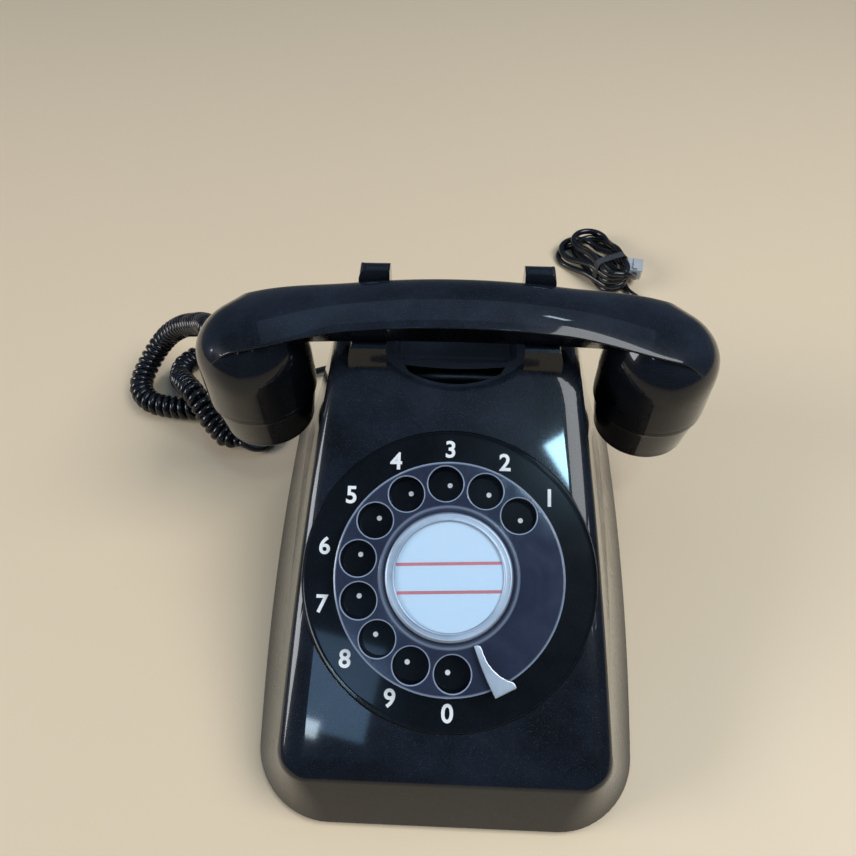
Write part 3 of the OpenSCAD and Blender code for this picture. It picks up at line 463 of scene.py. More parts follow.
def addPaintedRimHighlight(material, rimHighlightColour, cover, rimCover):
    # clear plastic gathers light along its rounded rims; here that light is painted on the rims as a paler,
    # more solid colour
    tree = material.node_tree
    shader = next(node for node in tree.nodes if node.type == "BSDF_PRINCIPLED")
    rimHighlight = addNode(tree, "Attribute", attribute_name="paintedRimHighlight").outputs["Fac"]
    body = shader.inputs["Base Color"].links[0].from_socket
    tree.links.new(mixed(tree, rimHighlight, body, (*rimHighlightColour, 1)), shader.inputs["Base Color"])
    solid = addNode(tree, "MapRange", {"Value": rimHighlight, "To Min": cover, "To Max": rimCover})
    tree.links.new(solid.outputs[0], shader.inputs["Alpha"])


# painted rim highlight on the finger wheel: paler colour and less see-through on the rims
addPaintedRimHighlight(clearWheel, (0.40, 0.48, 0.62), 0.62, 0.95)
# the number card is white; its blue tint is a painted reflection of the bluish sky in the clear window over
# it
cardWithPaintedReflection = makeFinish("cardWithPaintedReflection", (0.60, 0.80, 0.96), 0.6, dust=0.1, dustColour=(0.5, 0.6, 0.7),
                       grain=0.01, grainSize=0.0006, tint=(0.55, 0.75, 0.92))
cardRed = makeFinish("cardRed", (0.55, 0.012, 0.04), 0.5, dust=0.1, grain=0.01, grainSize=0.0006)
# satin silver-grey ring; its blue tint is a painted reflection of the bluish surroundings
satinRingWithPaintedReflection = makeMetal("satinRingWithPaintedReflection", (0.44, 0.51, 0.6), 0.48, dustColour=(0.4, 0.4, 0.42), hairline=0.18,
                      grain=0.006, grainSize=0.0007)
stopSteel = makeMetal("stopSteel", (0.72, 0.75, 0.8), 0.34, dust=0.15, dustColour=(0.5, 0.5, 0.52),
                      hairline=0.14, grain=0.004, grainSize=0.001)
plainSteel = makeMetal("plainSteel", (0.56, 0.57, 0.58), 0.3)
zincSteel = makeMetal("zincSteel", (0.42, 0.43, 0.44), 0.36, dust=0.3, smear=0.16, smearSize=0.008,
                      grain=0.01, grainSize=0.001, tint=(0.54, 0.55, 0.54))
springSteel = makeMetal("springSteel", (0.2, 0.21, 0.22), 0.3, grain=0.006, grainSize=0.0006,
                        tint=(0.16, 0.18, 0.26))
brass = makeMetal("brass", (0.56, 0.42, 0.18), 0.28, smear=0.16, smearSize=0.006, tint=(0.42, 0.3, 0.14))
bellBrass = makeMetal("bellBrass", (0.5, 0.42, 0.24), 0.24, dust=0.25, hairline=0.24, grain=0.006,
                      grainSize=0.002, tint=(0.4, 0.34, 0.2))
aluminium = makeMetal("aluminium", (0.6, 0.61, 0.62), 0.34, dust=0.25, grain=0.01, grainSize=0.001)
ivoryPlastic = makeFinish("ivoryPlastic", (0.66, 0.62, 0.5), 0.4, dust=0.2, grain=0.02, grainSize=0.0008)
coilWinding = makeFinish("coilWinding", (0.2, 0.05, 0.02), 0.35, dust=0.2, grain=0.06, grainSize=0.0004)
phenolic = makeFinish("phenolic", (0.04, 0.034, 0.03), 0.5, dust=0.4, grain=0.04, grainSize=0.0006)
blackRubber = makeFinish("blackRubber", (0.02, 0.02, 0.022), 0.6, dust=0.5, grain=0.05, grainSize=0.0005)
cordBlack = makeFinish("cordBlack", (0.005, 0.0055, 0.007), 0.15, dust=0.15, dustColour=(0.08, 0.09, 0.12),
                       smearSize=0.01, grain=0.012, grainSize=0.001)
plugClear = makeFinish("plugClear", (0.74, 0.75, 0.77), 0.22, dust=0.2, dustColour=(0.5, 0.5, 0.5),
                       grain=0.02, grainSize=0.001, **{"Transmission Weight": 0.35, "IOR": 1.5})
print("finishes made")

# ---- cords, made before the rest ----

coil = dict(wire=3.7, pitch=3.95, radius=4.4, perTurn=14, ringSides=8, ramp=11)
coilRoute = [(-112.5, 81.5, 69), (-121, 97, 60), (-133, 110, 48), (-147, 121, 35), (-160, 125, 22),
             (-169, 118, 12), (-172, 104, 6.8), (-164, 93, 6.5), (-150, 89, 6.5), (-136, 89, 6.5),
             (-123, 96, 6.5), (-118, 110, 6.5), (-127, 125, 6.5), (-141, 130, 6.5), (-151, 121, 6.8),
             (-150, 108, 10), (-143, 97, 17), (-134, 86, 20), (-126, 77, 13), (-117, 70, 6.8),
             (-108, 66, 6.5)]
coilEndRoute = [(-108, 66, 6.5), (-102, 65, 4), (-96, 68, 2.4), (-93, 76, 2.3), (-94, 90, 2.3),
                (-92, 105, 2.3), (-84, 117, 3), (-68, 122, 6), (-50, 121.5, 9), (-42.5, 116.5, 10),
                (-42, 111.5, 10), (-42, 106.5, 10)]
cupExit = (-107.6, 75.3, 78)
cupHeading = math.radians(136)


def woundAround(line, c):
    # a screw line about the route, its width growing from nothing at both ends
    total = lengthOf(line)
    turns = round(total / c["pitch"])
    line = evenly(line, total / (turns * c["perTurn"]))
    side = Vector((0, 0, 1)).cross(line[1] - line[0]).normalized()
    points, travelled = [], 0
    for i, point in enumerate(line):
        along = (line[min(i + 1, len(line) - 1)] - line[max(i - 1, 0)]).normalized()
        side = (side - along * side.dot(along)).normalized()
        if i:
            travelled += (point - line[i - 1]).length
        reach = c["radius"] * ease(min(travelled, total - travelled) / c["ramp"])
        angle = 2 * math.pi * i / c["perTurn"]
        points.append(point + reach * (side * math.cos(angle) + along.cross(side) * math.sin(angle)))
    return points


def makeHandsetCord(c):
    out = Vector((math.cos(cupHeading), math.sin(cupHeading), 0))
    tip = Vector(cupExit)
    lead = smoothLine([tip - 4 * out, tip, tip + 2.8 * out - Vector((0, 0, 0.4)), coilRoute[0]], 5)
    centre = smoothLine(coilRoute, 12)
    tail = smoothLine(coilEndRoute, 6)
    path = lead[:-1] + woundAround(centre, c) + tail[1:]
    mesh = tubeMesh(path, c["wire"], c["ringSides"])
    cord = addMesh("handset_cord", mesh, None, cordBlack, ("coil_cord", "coil_cord_tail", "coil_cord_end"),
                   0)
    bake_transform(cord, "base", "handset", start=(0, 0, 0.012), end=(0, 0, 0.078))


lineCord = dict(width=3.7, ringSides=10, tied=(97, 204), turn=7.7, first=1.95, rise=3.45, droopFrom=0.35,
                loops=[((88, 236), 11.2, 0), ((77, 229.5), 11.0, 0), ((89.5, 234), 11.8, 1),
                       ((79, 232), 11.4, 1), ((86, 237), 10.6, 2)],
                legSteps=9, farSteps=11, tiedSteps=9, lastSteps=6)
lineExit = (42, 111.5, 10)
lineRoute = [(42, 106.5, 10), lineExit, (42, 117, 9), (45, 126, 5), (54, 138, 2.4), (72, 150, 2.3),
             (94, 158, 2.3), (109, 168, 2.3), (115.5, 179, 2), (112.5, 189.5, 1.95), (107, 197, 1.95)]
leadOut = [(101.5, 196.9, 15.2), (106.3, 199, 12.4), (109.8, 202.6, 8.4), (111.4, 206.8, 4.9),
           (112.2, 211, 3.7)]


def hankPath(c):
    # loops from the tied end round each lobe and back, one on top of the other
    tied, turn, rise, legs = Vector(c["tied"]), c["turn"], c["rise"], c["legSteps"]
    points = []
    for number, (far, radius, rank) in enumerate(c["loops"]):
        last = number == len(c["loops"]) - 1
        heading = Vector(far) - tied
        theta = math.atan2(heading.y, heading.x)
        spread = math.pi / 2 + math.asin((radius - turn) / heading.length)
        start, end = theta - spread, theta + spread
        low = c["first"] + rise * number
        drooped = min(low, c["first"] + rise * rank)
        for i in range(legs):  # out along the right-hand leg
            p = onCircle(tied, turn, start).lerp(onCircle(far, radius, start), i / legs)
            sunk = ease((i / legs - c["droopFrom"]) / (1 - c["droopFrom"]))
            points.append((*p, low + (drooped - low) * sunk))
        for i in range(c["farSteps"]):
            angle = start + (end - start) * i / c["farSteps"]
            points.append((*onCircle(far, radius, angle), drooped))
        for i in range(legs):  # back along the other leg
            p = onCircle(far, radius, end).lerp(onCircle(tied, turn, end), i / legs)
            points.append((*p, drooped + (low - drooped) * ease(i / legs / (1 - c["droopFrom"]))))
        stop = 1.5 * math.pi + 0.1 if last else start + 2 * math.pi
        steps = c["lastSteps"] if last else c["tiedSteps"]
        for i in range(steps):  # round the tied end, climbing to the next loop
            climb = 0 if last else rise * ease(i / steps)
            points.append((*onCircle(tied, turn, end + (stop - end) * i / steps), low + climb))
    return points


def makeLineCord(c):
    path = smoothLine(lineRoute + hankPath(c) + leadOut, 3)
    mesh = tubeMesh(path, c["width"], c["ringSides"])
    cord = addMesh("line_cord_loops", mesh, "base", cordBlack, ("line_cord", "line_cord_hank"),
                   0)
    return cord, path


makeHandsetCord(coil)
lineCordPiece, linePath = makeLineCord(lineCord)
print("cords laid")

# ---- housing ----

shell = dict(halfDepth=106.5, width=161, frontTaper=22, widestY=60, deckZ=95.5, wall=2.6, rimGap=3,
             faceTilt=math.radians(26.75), lipZ=27.2, lipSet=9.8, lipSoft=4.8, lean=0.28, flare=5,
             flareH=12, backLean=0.1, backRound=16, sideRound=6, cornerFoot=27, cornerFace=9,
             cornerBack=30, brow=10)
dialSeat = dict(y=-33.03, z=59.29, plateR=55.3, openingR=51.5, seat=1)
cradle = dict(railX=34, railW=17, seatZ=104, hornZ=119.5, handsetY=52, seatFront=43.5,
              plungerX=33, plungerR=3)
cordHole = dict(x=42, z=10, radius=3.4)
scoop = dict(radius=41, up=72.3, ramp=math.radians(42), deep=26, half=27)
faceTurn = moved(y=dialSeat["y"], z=dialSeat["z"]) @ spun(shell["faceTilt"], "X")
browStart = shell["deckZ"] - shell["brow"] * math.tan(shell["faceTilt"] / 2) * math.sin(shell["faceTilt"])


def faceY(z):
    return dialSeat["y"] + (z - dialSeat["z"]) / math.tan(shell["faceTilt"])


def frontY(z, inset):
    b = shell
    wallY = -b["halfDepth"] + b["lipSet"] * (z - b["rimGap"]) / (b["lipZ"] - b["rimGap"])
    if inset:
        return max(wallY + 1.08 * inset, faceY(z + inset / math.cos(b["faceTilt"])))
    if z > browStart:  # soft edge between face and deck
        centre = faceY(b["deckZ"]) + b["brow"] * math.tan(b["faceTilt"] / 2)
        return centre - math.sqrt(max(0, b["brow"] ** 2 - (z - b["deckZ"] + b["brow"]) ** 2))
    gap = max(0, b["lipSoft"] - abs(wallY - faceY(z))) / b["lipSoft"]
    return max(wallY, faceY(z)) + gap * gap * b["lipSoft"] / 4


def roundIn(z, top, radius):
    return radius - math.sqrt(max(0, radius ** 2 - (z - top + radius) ** 2)) if z > top - radius else 0


def sideX(y, z, inset):
    b = shell
    forward = max(0, b["widestY"] - y) / (b["widestY"] + b["halfDepth"])
    wide = b["width"] / 2 - b["frontTaper"] / 2 * forward ** 2
    height = z - b["rimGap"]
    drop = b["lean"] * height + b["flare"] * (1 - math.exp(-height / b["flareH"]))
    return wide - drop - roundIn(z, b["deckZ"] - inset, b["sideRound"] - inset) - 1.05 * inset


def levelRing(z, inset, arc=14, along=18):
    # one level outline of the housing, inset by a wall
    b = shell
    front = frontY(z, inset)
    back = b["halfDepth"] - b["backLean"] * (z - b["rimGap"])
    back = back - roundIn(z, b["deckZ"] - inset, b["backRound"] - inset) - inset
    rise = min(1, max(0, z - b["rimGap"]) / (b["lipZ"] - b["rimGap"]))
    frontR = b["cornerFoot"] + (b["cornerFace"] - b["cornerFoot"]) * rise - inset
    backR = b["cornerBack"] - inset
    right = []
    for i in range(arc + 1):
        a = math.pi / 2 * i / arc
        y = front + frontR * (1 - math.cos(a))
        right.append((sideX(y, z, inset) - frontR * (1 - math.sin(a)), y, z))
    for i in range(1, along):
        y = front + frontR + (back - backR - front - frontR) * i / along
        right.append((sideX(y, z, inset), y, z))
    for i in range(arc + 1):
        a = math.pi / 2 * (arc - i) / arc
        y = back - backR * (1 - math.cos(a))
        right.append((sideX(y, z, inset) - backR * (1 - math.sin(a)), y, z))
    right = [(right[0][0] - 0.8, right[0][1], z)] + right + [(right[-1][0] - 0.8, right[-1][1], z)]
    return right + [(-x, y, z) for x, y, z in reversed(right)]


def housingLevels(inset):
    b = shell
    top = b["deckZ"] - inset
    if inset:
        low = [b["rimGap"] - 1, 6, 10, 15, 21, 25, 27, 29, 32, 45, 60]
    else:
        low = [b["rimGap"] + k for k in (0, 0.8, 2, 3.5, 5, 7, 9, 11, 13, 15, 17, 19)]
        low += [b["lipZ"] + 0.45 * k for k in range(-8, 9)] + [35, 42, 50, 60, 70]
    roundLevels = [top - b["backRound"] * (1 - math.sin(math.pi / 2 * k / 12)) for k in range(12)]
    roundLevels += [top - b["sideRound"] * (1 - math.sin(math.pi / 2 * k / 7)) for k in range(7)]
    if not inset:
        roundLevels += [browStart + (b["deckZ"] - browStart) * k / 4 for k in range(4)]
    return sorted(set(round(z, 3) for z in low + roundLevels)) + [top]


def softened(corners, cuts, steps=5):
    # an outline with each corner cut back by its length and rounded
    soft = []
    for i, (corner, cut) in enumerate(zip(corners, cuts)):
        here, before = Vector(corner), Vector(corners[i - 1])
        after = Vector(corners[(i + 1) % len(corners)])
        a, b = here + (before - here).normalized() * cut, here + (after - here).normalized() * cut
        ts = [k / steps for k in range(steps + 1)] if cut else [0]
        soft += [tuple(a * (1 - t) ** 2 + here * 2 * t * (1 - t) + b * t * t) for t in ts]
    return soft


def scoopBowl(grow):
    # grown by the wall it hollows the inside, and ungrown it cuts the outside with a rounded rim
    s = scoop
    slope, deep, r = math.tan(s["ramp"]), s["deep"] + 1.35 * grow, s["radius"]
    low, high = r - s["deep"] / slope, r - 1.35 * grow / slope
    lip, floorSoft, rimSoft = (0.02, 0, 0) if grow else (2.2, 5, 2.1)
    profile = softened([(0, -deep), (low, -deep), (high, 0), (high + lip, 0.03), (high + 3, 30), (0, 30)],
                       (0, floorSoft, rimSoft, 0, 0, 0))
    bm = turned(profile, 160, False)
    bm.transform(faceTurn @ moved(y=s["up"] + r))
    for normal, place in (((1, 0, 0), (s["half"] + grow, 0, 0)), ((-1, 0, 0), (-s["half"] - grow, 0, 0)),
                          ((0, 0, 1), (0, 0, cradle["hornZ"] + 4)),
                          ((0, 1, 0), (0, shell["halfDepth"] + 5, 0))):
        bmesh.ops.bisect_plane(bm, geom=bm.verts[:] + bm.edges[:] + bm.faces[:], dist=1e-7,
                               plane_co=vec(place), plane_no=normal, clear_outer=True)
        bmesh.ops.holes_fill(bm, edges=[e for e in bm.edges if e.is_boundary], sides=0)
    return toolFrom(outward(bm))


def scoopTrough(grow):
    # the hollow between the rails, from behind the bowl to the back
    y, top, back = cradle["handsetY"], shell["deckZ"], shell["halfDepth"]
    half, soft, above = scoop["half"] + grow - 2, 0 if grow else 2.2, cradle["hornZ"] + 4.5
    rings = []
    for k in (-6, -5, -4, -3, -2, -1, 1, 2, 3, 4, 5, 6) if soft else (-6, 6):
        turn = math.pi / 2 * (1 - abs(k) / 6)
        x = math.copysign(half - soft + soft * math.cos(turn), k)
        g = grow - soft * (1 - math.sin(turn))
        side = [(y - 6 - g, above), (y - 6 - g, top - 3), (y + 4 - g, top - 16 - g),
                (y + 15 - g, top - 24 - g), (y + 33 + g, top - 24 - g), (back - 12 + g, top - 18 - g),
                (back + 6, top - 14 - g), (back + 6, above)]
        rings.append([(x, b, c) for b, c in softened(side, (0, 0, 4, 4, 5, 4, 0, 0))])
    return toolFrom(ringStack(rings))


def turnedSlab(outline, low, high, turn):
    bm = slab(outline, low, high)
    bm.transform(turn)
    return outward(bm)


def makeRail(side):
    # a rail with its horn: the side view crossed with the front view
    c, deck = cradle, shell["deckZ"]
    inner, outer = c["railX"] - c["railW"] / 2, c["railX"] + c["railW"] / 2
    hornOut, seat, horn, front = outer - 3, c["seatZ"], c["hornZ"], c["seatFront"]
    start, slant, lean = faceY(deck), c["handsetY"] + 10.5, 6.57
    tip = slant + lean
    sideView = [(start, deck - 16), (start, deck - 0.5), (front - 3, seat + 0.2), (front - 1.7, seat + 1.05),
                (front - 0.2, seat + 0.9), (front + 0.8, seat), (slant, seat), (slant + 0.5, seat + 0.7),
                (tip - 0.4, horn - 1.8), (tip + 0.3, horn - 0.7), (tip + 1.6, horn - 0.1), (tip + 3, horn),
                (tip + 4.8, horn - 0.35), (tip + 6.5, horn - 1.4), (tip + 7.8, horn - 3.2),
                (slant + 15, seat), (slant + 19, deck - 5), (slant + 20, deck - 16)]
    frontView = [(inner, deck - 16), (outer, deck - 16), (outer - 0.3, deck + 4), (outer - 0.9, seat - 1.5),
                 (outer - 2, seat + 1), (hornOut + 0.2, seat + 4), (hornOut, horn - 3.4),
                 (hornOut - 0.6, horn - 1.7), (hornOut - 1.9, horn - 0.55), (hornOut - 4, horn),
                 (inner + 4, horn), (inner + 1.9, horn - 0.55), (inner + 0.6, horn - 1.7),
                 (inner, horn - 3.4)]
    depthwise = Matrix(((1, 0, 0, 0), (0, 0, -1, 0), (0, 1, 0, 0), (0, 0, 0, 1)))
    sideways = Matrix(((0, 0, 1, 0), (1, 0, 0, 0), (0, 1, 0, 0), (0, 0, 0, 1)))
    across = turnedSlab([(side * x, z) for x, z in frontView], -shell["halfDepth"], 0, depthwise)
    block = toolFrom(turnedSlab(sideView, -outer - 2, outer + 2, sideways))
    carve(block, toolFrom(across), "INTERSECT")
    bm = bmFrom(block)
    dropFlatEdges(bm, 0.001)
    roundEdges(bm, 0.9, 4, 40, lambda e: max(v.co.z for v in e.verts) > (deck + 1) * mm)
    return toolFrom(outward(bm))


def makeHousing():
    body = toolFrom(ringStack([levelRing(z, 0) for z in housingLevels(0)]))
    carve(body, makeRail(-1), "UNION")
    carve(body, makeRail(1), "UNION")
    carve(body, scoopBowl(0))
    carve(body, scoopTrough(0))
    d, c = dialSeat, cradle
    r = d["plateR"] + 0.05
    pocket = softened([(0, -d["seat"]), (r, -d["seat"]), (r, 0), (r + 0.6, 0.02), (r + 0.8, 8), (0, 8)],
                      (0, 0, 0.55, 0, 0, 0))
    carve(body, toolFrom(turned(pocket, 160, False), faceTurn))
    carve(body, toolFrom(drum(d["openingR"], -12, 8, 128, faceTurn)))
    for side in (-1, 1):
        well = moved(side * c["plungerX"], c["handsetY"])
        carve(body, toolFrom(drum(c["plungerR"] + 0.05, 70, 112, 40, well)))
        mouth = moved(side * cordHole["x"], shell["halfDepth"] + 2, cordHole["z"])
        mouth = mouth @ spun(math.pi / 2, "X")
        carve(body, toolFrom(drum(cordHole["radius"], -2, 12, 32, mouth)))
    inside = toolFrom(ringStack([levelRing(z, shell["wall"], 6, 8) for z in housingLevels(shell["wall"])]))
    carve(inside, scoopBowl(shell["wall"]))
    carve(inside, scoopTrough(shell["wall"]))
    carve(body, inside)
    bm = bmFrom(body)
    dropFlatEdges(bm, 0.0006)
    addPiece("housing_shell", bm, "base", glossBlack, ("housing",), sharp=24)


makeHousing()
print("housing made")

# ---- dial ----

plate = dict(hole=10, top=0.5, bead=0.35, beadWidth=1.2)


def makeNumberPlate(p):
    r = dialSeat["plateR"]
    bm = turned([(p["hole"], -dialSeat["seat"]), (r, -dialSeat["seat"]), (r, p["top"] + p["bead"] - 0.2, 0.3),
                 (r - 0.5, p["top"] + p["bead"], 0.35), (r - p["beadWidth"], p["top"] + 0.05, 0.3),
                 (r - p["beadWidth"] - 1, p["top"]), (p["hole"], p["top"])], 160)
    addPiece("number_plate_disc", bm, "base", plateBlack, ("number_plate",), faceTurn)


makeNumberPlate(plate)

numbers = dict(radius=48.2, height=6.7, start=39.4, spacing=25.714, bold=0.03, thick=0.12, enlarge=1.4)


def makeNumbers(n):
    bm = bmesh.new()
    for i in range(10):
        text = bpy.data.curves.new("figure", "FONT")
        text.body = str((i + 1) % 10)
        text.size = n["height"] * n["enlarge"] * mm
        text.offset = n["bold"] * n["height"] * mm
        text.extrude = n["thick"] / 2 * mm
        text.align_x = "CENTER"
        text.resolution_u = 5
        mesh = meshMade("figure", text)
        low = Vector([min(v.co[k] for v in mesh.vertices) for k in range(3)])
        high = Vector([max(v.co[k] for v in mesh.vertices) for k in range(3)])
        size = n["height"] * mm / (high.y - low.y)
        spot = onCircle((0, 0), n["radius"], math.radians(n["start"] + n["spacing"] * i))
        mesh.transform(moved(*spot, plate["top"] + n["thick"] / 2) @ Matrix.Diagonal((size, size, 1, 1))
                       @ Matrix.Translation(-(low + high) / 2))
        bm.from_mesh(mesh)
        bpy.data.meshes.remove(mesh)
    addPiece("dial_figures", bm, "base", printWhite, ("numerals",), faceTurn)


makeNumbers(numbers)

wheel = dict(radius=42.5, top=6.7, thick=2, holeRing=34.1, hole=6.6, rim=0.5, holeStart=42.2, spacing=25.714,
             spindle=3, ridge=25.2, recess=6.2)


def addRings(bm, sizes, segments, x=0, y=0):
    # rings of (radius, height, painted rim highlight) about one centre, joined by a skin
    layer = bm.verts.layers.float["paintedRimHighlight"]
    loops = []
    for radius, height, rimHighlight in sizes:
        made = bmesh.ops.create_circle(bm, cap_ends=False, segments=segments, radius=radius * mm,
                                       matrix=moved(x, y, height))
        for v in made["verts"]:
            v[layer] = rimHighlight
        loops.append(made["verts"])
    for one, two in zip(loops, loops[1:]):
        for i in range(segments):
            bm.faces.new((one[i - 1], one[i], two[i], two[i - 1]))
    return [[bm.edges.get((loop[i - 1], loop[i])) for i in range(segments)] for loop in (loops[0], loops[-1])]


def makeWheel(w):
    # clear disc with ten rounded finger holes, a turned-down rim and a ridge about the centre
    bm = bmesh.new()
    bm.verts.layers.float.new("paintedRimHighlight")
    top, low, r, h, e, q = w["top"], w["top"] - w["thick"], w["radius"], w["hole"], w["rim"], w["ridge"]
    # the third number of each ring is how much painted rim highlight that ring gets
    edge = [(r - 1.1, top, 0), (r - 0.7, top - 0.06, 0.5), (r - 0.2, top - 0.35, 0.9), (r, top - 0.8, 0.3),
            (r, low - 0.7, 0.1), (r - 0.3, low - 1, 0.1), (r - 0.8, low - 1, 0), (r - 1, low - 0.7, 0),
            (r - 1, low, 0)]
    dip, axle = w["recess"], w["spindle"]
    middle = [(q + 0.95, top, 0), (q + 0.8, top + 0.05, 0.2), (q + 0.4, top + 0.36, 0.45),
              (q, top + 0.42, 0.45), (q - 0.4, top + 0.36, 0.2), (q - 0.8, top + 0.05, 0.1),
              (q - 1.1, top, 0), (dip, top, 0), (dip, top - 1.1, 0), (axle, top - 1.1, 0),
              (axle, low - 2.5, 0), (axle + 4, low - 2.5, 0), (axle + 6, low, 0)]
    hole = [(h + e + 0.12, top, 0), (h + e, top, 0.1), (h + 0.62 * e, top - 0.07 * e, 0.8),
            (h + 0.3 * e, top - 0.3 * e, 1), (h + 0.07 * e, top - 0.62 * e, 0.9), (h, top - e, 0.3),
            (h, low + e, 0.15), (h + 0.3 * e, low + 0.3 * e, 0.15), (h + e, low, 0)]
    parts = [addRings(bm, edge, 144), addRings(bm, middle, 96)]
    for i in range(10):
        spot = onCircle((0, 0), w["holeRing"], math.radians(w["holeStart"] + w["spacing"] * i))
        parts.append(addRings(bm, hole, 48, *spot))
    for side, way in ((0, 1), (1, -1)):
        bmesh.ops.triangle_fill(bm, use_beauty=True, use_dissolve=False, normal=(0, 0, way),
                                edges=[edge for part in parts for edge in part[side]])
    addPiece("finger_wheel_disc", bm, "dial", clearWheel, ("finger_wheel",), faceTurn, 25)


makeWheel(wheel)

centre = dict(outer=23.4, inner=19.9, card=20.2, low=6.7, high=8.1, lines=(4.6, -5.6), lineWidth=1.15,
              slant=math.radians(2.6))


def makeCentre(c):
    card, low, high, outer, inner = c["card"], c["low"], c["high"], c["outer"], c["inner"]
    bm = turned([(card + 0.05, low), (outer, low), (outer, low + 0.75, 0.25),
                 (outer - 0.75, high - 0.05, 0.3), (outer - 1.3, high - 0.12, 0.15),
                 (inner + 1.1, high - 0.12, 0.15), (inner + 0.4, high, 0.25), (inner, high - 0.4, 0.2),
                 (inner, low + 0.85), (card + 0.05, low + 0.85)], 128)
    addPiece("centre_ring_trim", bm, "dial", satinRingWithPaintedReflection, ("centre_ring",), faceTurn)
    bm = turned([(0, low), (card, low), (card, low + 0.3, 0.08), (0, low + 0.3)], 96, False)
    addPiece("number_card_disc", bm, "dial", cardWithPaintedReflection, ("number_card",), faceTurn)
    bm = bmesh.new()
    for y in c["lines"]:
        half = math.sqrt(inner ** 2 - (abs(y) + 0.5) ** 2)
        place = spun(c["slant"]) @ moved(y=y, z=low + 0.34)
        bmesh.ops.create_cube(bm, size=mm,
                              matrix=place @ Matrix.Diagonal((2 * half, c["lineWidth"], 0.06, 1)))
    addPiece("card_lines_printed", bm, "dial", cardRed, ("card_stripes",), faceTurn)
    bm = turned([(0, low + 0.4), (card, low + 0.4), (card, low + 0.8, 0.1), (0, low + 0.84)], 96, False)
    addPiece("card_window_disc", bm, "dial", clearWindow, ("card_window",), faceTurn)


makeCentre(centre)

stop = dict(angle=math.radians(-63), low=7.9, thick=1.1, foot=43.8, edge=0.32)


def makeStop(s):
    foot, low, high = s["foot"], s["low"], s["low"] + s["thick"]
    outline = [(25.6, -2.4), (25.75, -1.3), (26.6, -0.3), (28.2, -0.25), (30, -0.5), (33, -0.4), (36, 0.3),
               (38.8, 1.6), (40.8, 3.1), (42.2, 4.6), (43.2, 5.1), (foot + 1, 5.1), (foot + 1, -3.3),
               (38, -3.4), (32, -3.1)]
    bm = slab(outline, low, high)
    roundEdges(bm, s["edge"], 3, 50)
    riser = slab([(foot, -2.6), (foot + 1, -2.6), (foot + 1, 4.4), (foot, 4.4)], -4, low + 0.3)
    absorb(bm, riser, "riser")
    addPiece("finger_stop_arm", bm, "base", stopSteel, ("finger_stop",),
             faceTurn @ spun(s["angle"]))


makeStop(stop)
print("dial made")

# ---- handset ----

handset = dict(y=52, cupX=83.5, cupR=23.5, top=121.5, arch=11.5, grip=14, crown=3, low=104.35, lowHalf=8,
               seamZ=71, straight=13, capH=21.5, bore=20.5, edge=0.8, square=4, soft=2.15,
               flare=3.5, flareFrom=40, flareOver=42, sink=86, sinkOver=11, belly=0.9, bellyHalf=42.5,
               cordRise=7, cordBore=3.05)


def archTop(h, x):
    return h["top"] - h["arch"] * (x / h["cupX"]) ** 2


def cupHeight(h, x, y):
    away, n = min(1, math.hypot(x - h["cupX"], y) / h["cupR"]), squareness(h, math.atan2(y, x - h["cupX"]))
    base = h["seamZ"] + h["straight"]
    return base + (archTop(h, x) - base) * (1 - away ** n) ** (1 / n)


def squareness(h, angle):
    # a cup has a tight shoulder at its outer end and soft ones elsewhere
    return h["soft"] + (h["square"] - h["soft"]) * max(0, math.cos(angle)) ** 1.2


def gripRing(h, x, steps=22):
    low = h["low"] + h["belly"] * (1 - (x / h["bellyHalf"]) ** 2)
    near = ease((abs(x) - h["sink"]) / h["sinkOver"])
    half = h["grip"] + h["flare"] * ease((abs(x) - h["flareFrom"]) / h["flareOver"])
    back = []
    for i in range(steps + 1):
        t = 1 - 2 * i / steps
        y = half * t
        z = archTop(h, x) - h["crown"] * abs(t) ** 2.2
        z += (min(z, cupHeight(h, abs(x), y) - 0.15) - z) * near
        back.append((y, z))
    side = (half - 0.8, back[0][1] - 1.3)
    ring = [(-h["lowHalf"], low), (0, low), (h["lowHalf"], low), side] + back + [(-side[0], side[1])]
    return [(x, h["y"] + y, z) for y, z in ring]


def makeCup(h, side):
    # straight wall, then a squarish dome whose top leans with the handle's arch
    base = h["seamZ"] + h["straight"]
    turns = [(None, h["cupR"] - less, h["seamZ"] + rise)
             for less, rise in ((0.35, 0), (0.1, 0.1), (0, 0.35), (0, 3), (0, 6), (0, 9))]
    turns += [(math.pi / 2 * k / 30, 0, 0) for k in range(30)]
    loops = []
    for turn, r, z in turns:
        loops.append([])
        for i in range(112):
            a = 2 * math.pi * i / 112
            if turn is None:
                reach, rise = r, 0
            else:
                power = 2 / squareness(h, a)
                reach, rise, z = h["cupR"] * math.cos(turn) ** power, math.sin(turn) ** power, base
            x = h["cupX"] + reach * math.cos(a)
            loops[-1].append((side * x, h["y"] + reach * math.sin(a), z + (archTop(h, x) - base) * rise))
    return toolFrom(ringStack(loops))


def cordWay(h):
    # from the left cup's middle outward along the handset cord
    middle = moved(-h["cupX"], h["y"], h["seamZ"] + h["cordRise"])
    return middle @ spun(cupHeading) @ spun(math.pi / 2, "Y")


